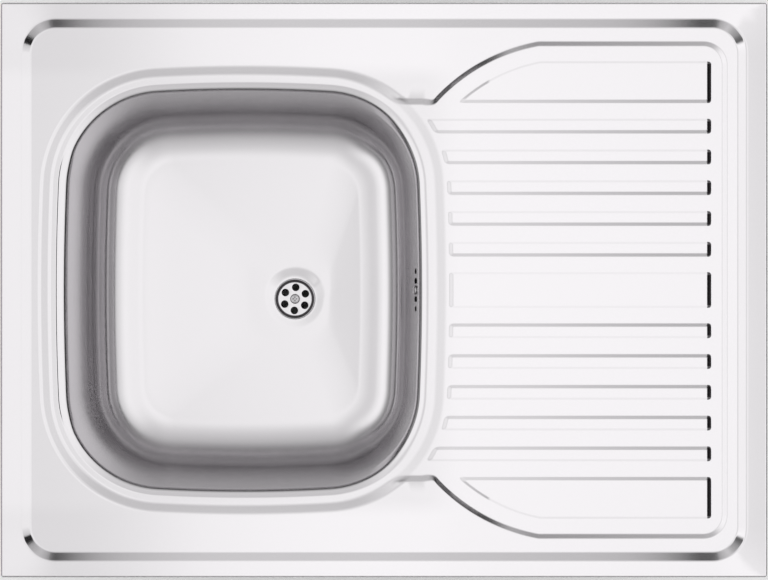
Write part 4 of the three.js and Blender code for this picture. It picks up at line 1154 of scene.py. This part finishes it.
# ---------------------------------------------------------------------------
# strainer, its screw and its gasket
# ---------------------------------------------------------------------------
def strainer():
    seg = 96
    lip = [(18.4, -137.0), (18.62, -136.95), (18.85, -136.78), (21.1, -134.62), (21.4, -134.38), (21.7, -134.24), (22.05, -134.2),
           (22.35, -134.28), (22.5, -134.42), (22.42, -134.6), (21.95, -134.7), (21.4, -135.0), (19.5, -137.3), (19.2, -137.62), (18.7, -137.8)]
    v, f, rows = [], [], []
    for r, z in lip:
        rows.append(list(range(len(v), len(v) + seg)))
        v += [(x, y, z) for x, y in circle(0, 0, r, seg)]
    for a, b in zip(rows, rows[1:]):
        f += [(a[k], a[(k + 1) % seg], b[(k + 1) % seg], b[k]) for k in range(seg)]
    hole = [(0.62, 0.0), (0.36, 0.03), (0.16, 0.12), (0.04, 0.27), (0.0, 0.45), (0.0, 0.8)]
    spots = [(13.0 * math.cos(HOLE_TURN + k * math.pi / 3), 13.0 * math.sin(HOLE_TURN + k * math.pi / 3), 4.05, 32) for k in range(6)]
    spots.append((0.0, 0.0, 3.5, 24))
    tops, feet = [rows[0]], [rows[-1]]
    for cx, cy, r, n in spots:
        hr = []
        for dr, dz in hole:
            hr.append(list(range(len(v), len(v) + n)))
            v += [(x, y, -137.0 - dz) for x, y in circle(cx, cy, r + dr, n)]
        for a, b in zip(hr, hr[1:]):
            f += [(a[k], b[k], b[(k + 1) % n], a[(k + 1) % n]) for k in range(n)]
        tops.append(hr[0])
        feet.append(hr[-1])
    for loops, up in ((tops, True), (feet, False)):
        ids = [i for loop in loops for i in loop]
        extra = []
        if up:
            for rr, nn in ((8.0, 24), (13.0, 36), (17.9, 60)):
                for x, y in circle(0, 0, rr, nn, 0.1):
                    if min(math.hypot(x - cx, y - cy) - r for cx, cy, r, n in spots) > 1.2:
                        extra.append((x, y))
        base = len(v)
        v += [(x, y, -137.0) for x, y in extra]
        ids += list(range(base, base + len(extra)))
        for t in fill([[v[i][:2] for i in loop] for loop in loops], extra):
            q = tuple(ids[i] for i in t)
            f.append(q if up else q[::-1])
    return v, f


settle(blank("strainer_plate_shape", strainer()), "sink", "strainer_plate", bright, WASTE, 38)

ob = blank("strainer_gasket_shape", lathe(fillet([(21.8, -135.65), (22.9, -135.65), (22.9, -134.95), (21.8, -134.95)], 0.25), 96))
settle(ob, "sink", "strainer_gasket", black_rubber, WASTE)

head = [(5.5, -136.6), (5.52, -136.3), (5.3, -135.75), (4.9, -135.3), (4.2, -134.85), (3.2, -134.5), (1.8, -134.32), (0, -134.3)]
shank = [(0, -163.0), (2.3, -163.0)] + rows_between(3.0, -162.3, -140.6, 0.125) + [(3.0, -136.6)]
ob = blank("strainer_screw_shape", lathe(shank + head, 36, thread(3.0, 2.5, 1.0, -162.4, -140.5)))
combine(ob, "DIFFERENCE", prism(cross(3.5, 0.85), -133.4, -136.1, 0.4))
settle(ob, "sink", "strainer_screw", screw_steel, WASTE, 30)

ob = blank("waste_gasket_shape", lathe(fillet([(21.4, -137.15), (24.8, -137.15), (28.2, -135.95), (29.9, -135.3), (30.4, -136.2), (30.4, -137.6),
                                               (29.9, -138.0), (30.4, -138.4), (30.4, -140.1), (21.4, -140.1)], 0.4), 96))
settle(ob, "sink", "waste_gasket", black_rubber, WASTE)


# ---------------------------------------------------------------------------
# waste body
# ---------------------------------------------------------------------------
def grips(count, r_lo, depth, z0, z1):
    def f(r, z, t):
        if r < r_lo or z < z0 or z > z1:
            return r
        return r - depth * (0.5 + 0.5 * math.cos(t * count)) ** 3
    return f


def waste_radius(r, z, t):
    r = thread(23.9, 22.95, 2.309, -201.3, -187.2, 1.6)(r, z, t) if r < 24.1 and z < -186.5 else r
    return grips(36, 26.0, 0.9, -185.2, -183.0)(r, z, t) if r > 26 and z < -180 else r


prof = fillet([(0, -140.4), (30.5, -140.4), (31, -141), (31, -144), (30, -144.8), (25, -146), (24, -150), (23.4, -158), (23.4, -182),
               (26.5, -183.2), (26.5, -185), (23.6, -186), (23.9, -187)], 0.35)
prof = prof[:-1] + rows_between(23.9, -187.0, -201.2, 0.28) + [(23.3, -202.0), (0, -202.0)]
ob = blank("waste_body_shape", lathe([p for p in prof if True], 108, waste_radius))
inlet = Matrix.Translation((0, 0, INLET_Z)) @ RY
combine(ob, "UNION", moved(rod(13.2, 12, INLET_END, 64, 0.5, thread(13.2, 12.5, 2.0, INLET_END - 16, INLET_END - 0.4, 1.2), 0.3), inlet),
        moved(lathe(fillet([(0, 15), (17.2, 15), (16.4, 24.5), (14.2, 27.5), (0, 27.5)], 0.6), 64), inlet))
combine(ob, "DIFFERENCE", lathe([(0, -139), (20.6, -139), (20.6, -150), (18.9, -156), (18.9, -204), (0, -204)], 96),
        moved(rod(8.6, 2, 70, 48), inlet), moved(rod(10.9, INLET_END - 13, 70, 48), inlet))
hub = blank("hub", rod(9.0, -164, -145, 48, 0.5))
for k in range(3):
    turn = Matrix.Rotation(HOLE_TURN + math.pi / 6 + k * 2 * math.pi / 3, 4, "Z")
    combine(hub, "UNION", moved(prism([(5, -1.6), (21.5, -1.6), (21.5, 1.6), (5, 1.6)], -162, -150), turn))
combine(hub, "DIFFERENCE", rod(3.4, -166, -140, 36), moved(prism(circle(0, 0, 6.2, 6, -HALF), -151, -140), Matrix.Identity(4)))
hub_mesh = ([tuple(q.co) for q in hub.data.vertices], [tuple(p.vertices) for p in hub.data.polygons])
old = hub.data
bpy.data.objects.remove(hub)
bpy.data.meshes.remove(old)
combine(ob, "UNION", hub_mesh)
settle(ob, "sink", "waste_body", black_plastic, WASTE, 34)


def hex_nut(r, z0, z1, bore, pitch):
    """Six flats, chamfered at both ends, with a threaded bore."""
    def f(q, z, t):
        if q < r * 0.8:
            w = (z / pitch - t / (2 * math.pi)) % 1.0
            return bore + 0.28 * (2 * abs(w - 0.5))
        a = (t + HALF) % (math.pi / 3) - math.pi / 6
        flat = r * math.cos(math.pi / 6) / math.cos(a)
        edge = r - 0.75 * r * 0.16 + 1.7 * min(z - z0, z1 - z)
        return min(flat, edge)
    prof = [(bore, z0), (r, z0)] + [(r, z0 + (z1 - z0) * k / 12) for k in range(1, 12)] + [(r, z1), (bore, z1)]
    prof += [(bore, z1 + (z0 - z1) * k / 28) for k in range(1, 28)]
    return lathe(prof, 72, f)


settle(blank("waste_insert_nut_shape", hex_nut(5.8, -150.6, -145.4, 3.1, 1.0)), "sink", "waste_insert_nut", brass, WASTE, 24)

# ---------------------------------------------------------------------------
# overflow
# ---------------------------------------------------------------------------
ob = blank("overflow_gasket_shape", lathe(fillet([(24.6, 0.35), (30.5, 0.35), (30.5, 2.35), (29.3, 2.35), (28.6, 1.95), (26.5, 1.95), (25.8, 2.35), (24.6, 2.35)], 0.3), 96))
settle(ob, "sink", "overflow_gasket", black_rubber, OVER)

spigot = Matrix.Translation((0, 0, SPIGOT_W)) @ RX
cup = fillet([(0, 2.65), (31, 2.65), (31, 6.2), (30.2, 7.0), (30.2, 26.0), (31.0, 27.0), (31.0, 29.0), (27.0, 32.0), (20.5, 32.0), (19.5, 31.0), (0, 31.0)], 0.8, 4)


def cup_radius(r, z, t):
    return r + 0.7 * (0.5 + 0.5 * math.cos(t * 16)) ** 10 if 30.1 < r < 30.4 else r


ob = blank("overflow_head_shape", lathe(cup, 128, cup_radius))
combine(ob, "UNION", moved(rod(13.2, 20, -SPIGOT_END, 64, 0.5, thread(13.2, 12.5, 2.0, -SPIGOT_END - 16, -SPIGOT_END - 0.4, 1.2), 0.3), spigot))
combine(ob, "DIFFERENCE", rod(28.6, 1, 29.4, 96, 0.8), moved(rod(8.6, 22, 70, 48), spigot), moved(rod(10.9, -SPIGOT_END - 13, 70, 48), spigot))
boss = blank("boss", rod(6.6, 4, 30.2, 48, 0.3))
combine(boss, "DIFFERENCE", rod(2.9, 0, 24, 32), prism(circle(0, 0, 5.1, 6, -HALF), 0, 8.8))
boss_mesh = ([tuple(q.co) for q in boss.data.vertices], [tuple(p.vertices) for p in boss.data.polygons])
old = boss.data
bpy.data.objects.remove(boss)
bpy.data.meshes.remove(old)
combine(ob, "UNION", boss_mesh)
settle(ob, "sink", "overflow_head", black_plastic, OVER, 34)
settle(blank("overflow_insert_nut_shape", hex_nut(4.7, 4.4, 8.4, 2.6, 0.8)), "sink", "overflow_insert_nut", brass, OVER, 24)

head = [(2.5, -1.15), (5.2, -1.15), (5.22, -1.5), (5.05, -2.05), (4.6, -2.6), (3.9, -3.0), (3.0, -3.32), (1.6, -3.48), (0, -3.5)]
shank = [(0, 18.0), (2.0, 18.0)] + rows_between(2.5, 17.5, 2.6, 0.12)
ob = blank("overflow_screw_shape", lathe(shank + head, 36, thread(2.5, 2.08, 0.8, 2.5, 17.6)))
combine(ob, "DIFFERENCE", prism(cross(2.5, 0.5), -5.0, -1.9, 0.6))
settle(ob, "sink", "overflow_screw", screw_steel, OVER, 30)


def nut_radius(r, z, t):
    if r < 15.0 or z < -9.2 or z > 6.4:
        return r
    a = (t + math.pi / 8) % (math.pi / 4) - math.pi / 8
    across = abs(a) * 15.7
    rise = 1.0 - min(1.0, max(0.0, (across - 0.75) / 0.7))
    rise = rise * rise * (3 - 2 * rise)
    along = min(1.0, max(0.0, (z + 8.6) / 0.9)) * min(1.0, max(0.0, (6.0 - z) / 0.9))
    return r + 0.6 * rise * along - 0.16 * (0.5 + 0.5 * math.cos(t * 64)) * along * (1 - rise)


NUT = [(13.55, -9.0), (14.2, -9.45), (14.6, -9.6)] + rows_between(15.7, -9.0, 6.2, 0.6) + [(15.55, 6.6), (15.2, 6.8), (11.5, 6.8), (11.2, 6.5), (11.2, 4.9), (11.5, 4.5), (13.55, 3.6)]
NUT += [(13.55, 3.6 - 12.6 * k / 24) for k in range(1, 24)]
CONE = fillet([(10.85, 0.5), (12.6, 0.5), (13.0, 1.2), (13.0, 3.0), (10.85, 4.2)], 0.25)
over_end = OVER @ Matrix.Translation((0, SPIGOT_END, SPIGOT_W)) @ RX
waste_end = Matrix.Translation((DISH_X + INLET_END, DISH_Y, INLET_Z)) @ RY
for prefix, place in (("overflow", over_end), ("waste", waste_end)):
    settle(blank(prefix + "_hose_nut_shape", lathe(NUT, 192, nut_radius)), "sink", prefix + "_hose_nut", dark_plastic, place, 40)
    settle(blank(prefix + "_cone_washer_shape", lathe(CONE, 72)), "sink", prefix + "_cone_washer", washer_plastic, place, 34)


# ---------------------------------------------------------------------------
# hose, along the same route as its solid
# ---------------------------------------------------------------------------
def route():
    start = np.array(OVER @ Vector((0, SPIGOT_END + 12, SPIGOT_W)))
    down = np.array([-SIN_D, 0, -COS_D])
    pts = [start, start + down * 26, start + down * 46, start + down * 62 + [0.5, -0.6, 0],
           np.array([32.5, -2.4, -146]), np.array([18, -5.4, -160.5]), np.array([-2, -8.6, -167]), np.array([-22, -9.9, INLET_Z]),
           np.array([DISH_X + INLET_END + 8, DISH_Y, INLET_Z]), np.array([DISH_X + INLET_END - 12, DISH_Y, INLET_Z])]
    pts = [2 * pts[0] - pts[1]] + pts + [2 * pts[-1] - pts[-2]]
    out = []
    for i in range(1, len(pts) - 2):
        p0, p1, p2, p3 = pts[i - 1:i + 3]
        d0, d1, d2 = (np.linalg.norm(b - a) ** 0.5 for a, b in ((p0, p1), (p1, p2), (p2, p3)))
        t1 = ((p1 - p0) / d0 - (p2 - p0) / (d0 + d1) + (p2 - p1) / d1) * d1
        t2 = ((p2 - p1) / d1 - (p3 - p1) / (d1 + d2) + (p3 - p2) / d2) * d1
        for k in range(60):
            w = k / 60
            out.append(p1 + t1 * w + (-3 * p1 + 3 * p2 - 2 * t1 - t2) * w * w + (2 * p1 - 2 * p2 + t1 + t2) * w ** 3)
    out.append(pts[-2])
    return np.array(out)


def hose():
    line = route()
    step = np.linalg.norm(np.diff(line, axis=0), axis=1)
    s = np.concatenate([[0], np.cumsum(step)])
    total = s[-1]
    n = int(total / 0.45)
    at = np.linspace(0, total, n + 1)
    p = np.stack([np.interp(at, s, line[:, k]) for k in range(3)], 1)
    tan = np.gradient(p, axis=0)
    tan /= np.linalg.norm(tan, axis=1)[:, None]
    side = np.cross(tan[0], [0, 1, 0])
    side /= np.linalg.norm(side)
    seg = 44
    v = []
    frames = []
    for i in range(n + 1):
        side = side - tan[i] * (side @ tan[i])
        side /= np.linalg.norm(side)
        frames.append((p[i], side.copy(), np.cross(tan[i], side)))
    cos, sin = np.cos(2 * math.pi * np.arange(seg) / seg), np.sin(2 * math.pi * np.arange(seg) / seg)
    pitch = 3.7
    out_r, in_r = [], []
    for d in at:
        near = min(d, total - d)
        w = min(1.0, max(0.0, (near - 13.5) / 1.2))
        c = 0.5 + 0.5 * math.cos(2 * math.pi * (d - total / 2) / pitch)
        c = c * c * (3 - 2 * c)
        out_r.append(10.35 - w * (0.95 * (1 - c)) + 0.1 * w)
        in_r.append(out_r[-1] - 0.62)
    for radii in (out_r, in_r):
        for (c, a, b), r in zip(frames, radii):
            v += [tuple(c + r * (cos[k] * a + sin[k] * b)) for k in range(seg)]
    f, m = [], n + 1
    for i in range(n):
        for k in range(seg):
            j = (k + 1) % seg
            f.append((i * seg + k, i * seg + j, (i + 1) * seg + j, (i + 1) * seg + k))
            f.append(((m + i) * seg + k, (m + i + 1) * seg + k, (m + i + 1) * seg + j, (m + i) * seg + j))
    for k in range(seg):
        j = (k + 1) % seg
        f.append((k, m * seg + k, m * seg + j, j))
        f.append((n * seg + k, n * seg + j, (m + n) * seg + j, (m + n) * seg + k))
    return (v, f), total


shape, HOSE_LENGTH = hose()
print("hose length", round(HOSE_LENGTH, 1))
settle(blank("overflow_hose_shape", shape), "sink", "overflow_hose", hose_plastic, None, 60)


# ---------------------------------------------------------------------------
# sound-deadening pad
# ---------------------------------------------------------------------------
def pad():
    cx, cy, hx, hy = -203.0, 0.0, 53.0, 92.0
    bpy.context.view_layer.update()
    loop = [(x + cx, y + cy) for x, y in round_rect(hx, hy, 8.0, 8, 2.4)]
    gx, gy = np.meshgrid(np.arange(cx - hx + 2, cx + hx - 1, 2.0), np.arange(cy - hy + 2, cy + hy - 1, 2.0))
    extra = [(x, y) for x, y in zip(gx.ravel(), gy.ravel())
             if math.hypot(max(abs(x - cx) - hx + 8, 0), max(abs(y - cy) - hy + 8, 0)) < 6.6 and abs(x - cx) < hx - 1.4 and abs(y - cy) < hy - 1.4]
    pts = loop + extra
    tris = fill([loop], extra)
    top, low = [], []
    for i, (x, y) in enumerate(pts):
        hit, at, _, _ = sink.ray_cast(Vector((x, y, -190)) * MM, Vector((0, 0, 1)))
        z = (at.z / MM if hit else Z_FLOOR - SHEET) - 0.45
        g = max(abs(math.sin((x + y) * math.pi / 12)), abs(math.sin((x - y) * math.pi / 12)))
        groove = 0.4 * max(0.0, (g - 0.9) / 0.1)
        edge = i < len(loop)
        top.append((x, y, z))
        low.append((x + (cx - x) * (0.012 if edge else 0), y + (cy - y) * (0.008 if edge else 0), z - 2.4 + (0.5 if edge else groove)))
    n, m = len(pts), len(loop)
    f = [tuple(t) for t in tris] + [tuple(n + i for i in t[::-1]) for t in tris]
    f += [(k, n + k, n + (k + 1) % m, (k + 1) % m) for k in range(m)]
    return top + low, f


settle(blank("bowl_sound_pad_shape", pad()), "sink", "bowl_sound_pad", pad_rubber, None, 50)


# ---------------------------------------------------------------------------
# fixing brackets and their screws
# ---------------------------------------------------------------------------
def bracket():
    t, bend, lip_x, x0, z_top, foot = 1.5, 1.75, 391.9, 380.75, 1.85, -36.0
    s_lip = lip_x - (x0 + bend)
    s_leg = s_lip + HALF * bend

    def place(y, s):
        if s < s_lip:
            return lip_x - s, z_top, 0.0, 1.0
        if s < s_leg:
            a = (s - s_lip) / bend
            return x0 + bend * (1 - math.sin(a)), z_top - bend * (1 - math.cos(a)), -math.sin(a), math.cos(a)
        z = z_top - bend - (s - s_leg)
        side = min(1.0, max(0.0, (12.6 - abs(y)) / 1.6))
        up = min(1.0, max(0.0, 1 - abs(z + 6.7) / 2.0))
        lift = 1.15 * side * side * (3 - 2 * side) * up * up * (3 - 2 * up)
        return x0 - lift, z, -1.0, 0.0

    s_of = lambda z: s_leg + z_top - bend - z
    end = s_of(foot)
    corner = lambda y, s, r, a0: [(y + r * math.cos(math.radians(a0 + 90 * k / 5)), s + r * math.sin(math.radians(a0 + 90 * k / 5))) for k in range(6)]
    loop = corner(-13, 2, 2, 180) + corner(13, 2, 2, 270) + [(15, s_lip), (15, s_leg), (15, s_of(-4)), (15, s_of(-9)), (15, end - 4.4), (14.7, end - 3.7)]
    loop += [(11.7, end - 0.3), (11, end), (-11, end), (-11.7, end - 0.3), (-14.7, end - 3.7), (-15, end - 4.4), (-15, s_of(-9)), (-15, s_of(-4)), (-15, s_leg), (-15, s_lip)]
    slot = [(2.4 * math.cos(math.pi * k / 10), s_of(-29) + 2.4 * math.sin(math.pi * k / 10)) for k in range(11)]
    slot += [(-2.4 * math.cos(math.pi * k / 10), s_of(-11) - 2.4 * math.sin(math.pi * k / 10)) for k in range(11)]
    extra = [(y, s_lip + (s_leg - s_lip) * k / 7) for k in range(8) for y in np.arange(-14, 14.1, 2.0)]
    extra += [(y, s_of(z)) for z in np.arange(-9.2, -4.1, 0.4) for y in np.arange(-13.6, 13.7, 0.8)]
    pts = loop + slot + extra
    tris = fill([loop, slot], extra)
    P, Q = [], []
    for y, s in pts:
        x, z, nx, nz = place(y, s)
        P.append((x + nx * t / 2, y, z + nz * t / 2))
        Q.append((x - nx * t / 2, y, z - nz * t / 2))
    n = len(pts)
    f = [tuple(q) for q in tris] + [tuple(n + i for i in q[::-1]) for q in tris]
    for i, m in ((0, len(loop)), (len(loop), len(slot))):
        f += [(i + k, n + i + k, n + i + (k + 1) % m, i + (k + 1) % m) for k in range(m)]
    return P + Q, f


def wood_screw():
    head = [(1.9, -0.05), (4.1, -0.05), (4.12, -0.5), (4.0, -1.2), (3.6, -1.75), (2.9, -2.25), (1.6, -2.62), (0, -2.7)]
    body = [(0, 15.0)] + [(min(1.9, 0.12 + (15.0 - z) * 0.44), z) for z in np.arange(14.9, 2.3, -0.16)]

    def f(r, z, t):
        if z < 2.4 or z > 14.8:
            return r
        q = (z / 1.75 - t / (2 * math.pi)) % 1.0
        crest = max(0.0, 1 - abs(q - 0.5) * 5.0)
        return r * (0.62 + 0.38 * crest * min(1.0, (z - 2.4) / 1.2) + 0.38 * max(0.0, 1 - (z - 2.4) / 1.2))
    return lathe(body + head, 32, f)


CORNERS = [(1, -170.0), (1, 170.0), (-1, 170.0), (-1, -170.0)]
for k, (sx, y) in enumerate(CORNERS, 1):
    place = Matrix.Translation((0, y, 0))
    if sx < 0:
        place = place @ Matrix.Rotation(math.pi, 4, "Z")
    body = "bracket_%d" % k
    settle(blank("fixing_bracket_%d_shape" % k, bracket()), body, "fixing_bracket_%d" % k, zinc, place, 30)
    ob = blank("bracket_screw_%d_shape" % k, wood_screw())
    combine(ob, "DIFFERENCE", prism(cross(2.3, 0.46), -4.0, -1.0, 0.6))
    settle(ob, body, "bracket_screw_%d" % k, yellow_zinc, place @ Matrix.Translation((379.65, 0, -20.0)) @ RY, 30)


# ---------------------------------------------------------------------------
# floor, light and camera
# ---------------------------------------------------------------------------
floor_me = bpy.data.meshes.new("floor")
s = 6.0
floor_me.from_pydata([(-s, -s, -0.2028), (s, -s, -0.2028), (s, s, -0.2028), (-s, s, -0.2028)], [], [(0, 1, 2, 3)])
floor = bpy.data.objects.new("floor", floor_me)
bpy.context.scene.collection.objects.link(floor)
fm = bpy.data.materials.new("floor")
fm.use_nodes = True
fm.node_tree.nodes["Principled BSDF"].inputs["Base Color"].default_value = (0.82, 0.82, 0.82, 1)
fm.node_tree.nodes["Principled BSDF"].inputs["Roughness"].default_value = 0.9
floor_me.materials.append(fm)

world = bpy.data.worlds.new("studio")
bpy.context.scene.world = world
world.use_nodes = True
g = Nodes(world.node_tree)
w_out = g.add("ShaderNodeOutputWorld")
bg = g.add("ShaderNodeBackground")
g.link(bg.outputs[0], w_out.inputs[0])
tc = g.add("ShaderNodeTexCoord")
sep = g.add("ShaderNodeSeparateXYZ")
g.link(tc.outputs["Generated"], sep.inputs[0])
X, Y, Z = sep.outputs
elev = g.math("MULTIPLY", g.math("ARCSINE", Z), 2 / math.pi)       # 0 at the horizon, 1 overhead
flat = g.math("MAXIMUM", g.math("SQRT", g.math("ADD", g.math("MULTIPLY", X, X), g.math("MULTIPLY", Y, Y))), 1e-4)
wx = g.math("DIVIDE", X, flat)


def ramp(stops):
    r = g.add("ShaderNodeValToRGB")
    r.color_ramp.interpolation = "EASE"
    el = r.color_ramp.elements
    el[0].position, el[0].color = stops[0][0] / 90, (stops[0][1],) * 3 + (1,)
    el[1].position, el[1].color = stops[-1][0] / 90, (stops[-1][1],) * 3 + (1,)
    for p, c in stops[1:-1]:
        e = el.new(p / 90)
        e.color = (c, c, c, 1)
    g.link(elev, r.inputs[0])
    return r.outputs[0]


r_y = ramp([(0, 0.003), (12, 0.004), (17, 0.16), (24, 0.33), (30, 0.43), (36, 0.49), (51, 0.57), (62, 0.65), (71, 0.77), (79, 0.90), (84, 0.92), (90, 0.90)])
r_xp = ramp([(0, 0.003), (22.8, 0.004), (24.4, 0.52), (28, 0.66), (34, 0.73), (44, 0.85), (50, 0.89), (64, 0.87), (76, 0.88), (84, 0.91), (90, 0.90)])
r_xn = ramp([(0, 0.01), (14, 0.08), (20, 0.16), (26, 0.27), (32, 0.53), (38, 0.91), (46, 0.92), (54, 0.80), (61, 0.66), (70, 0.66), (76, 0.73), (82, 0.78), (90, 0.90)])


def smooth(x, a, b):
    n = g.add("ShaderNodeMapRange", interpolation_type="SMOOTHSTEP", inputs={"From Min": a, "From Max": b})
    g.link(x, n.inputs[0])
    return n.outputs[0]


minus = g.math("MULTIPLY", wx, -1.0)
w_right = smooth(wx, 0.30, 0.92)
w_left = smooth(minus, 0.30, 0.92)


def mixf(a, b, f):
    n = g.add("ShaderNodeMix", data_type="RGBA")
    g.link(f, n.inputs[0])
    g.link(a, n.inputs[6])
    g.link(b, n.inputs[7])
    return n.outputs[2]


env = mixf(mixf(r_y, r_xp, w_right), r_xn, w_left)
lp = g.add("ShaderNodeLightPath")
plain = g.add("ShaderNodeRGB")
plain.outputs[0].default_value = (0.80 * RHO, 0.80 * RHO, 0.80 * RHO, 1)
final = mixf(env, plain.outputs[0], lp.outputs["Is Camera Ray"])
g.link(final, bg.inputs[0])
bg.inputs[1].default_value = 1.0 / RHO

cam_data = bpy.data.cameras.new("camera")
cam = bpy.data.objects.new("camera", cam_data)
bpy.context.scene.collection.objects.link(cam)
cam_data.sensor_width = 36.0
CAM_H = 2.150
cam_data.lens = 36.0 * CAM_H / 0.801
cam.location = (0.0, 0.0, Z_RIM * MM + CAM_H)
cam.rotation_euler = (0, 0, 0)
cam_data.clip_end = 50
bpy.context.scene.camera = cam
sc = bpy.context.scene
sc.view_settings.view_transform = "Standard"
sc.view_settings.look = "None"
sc.view_settings.exposure = 0.0
sc.view_settings.gamma = 1.0
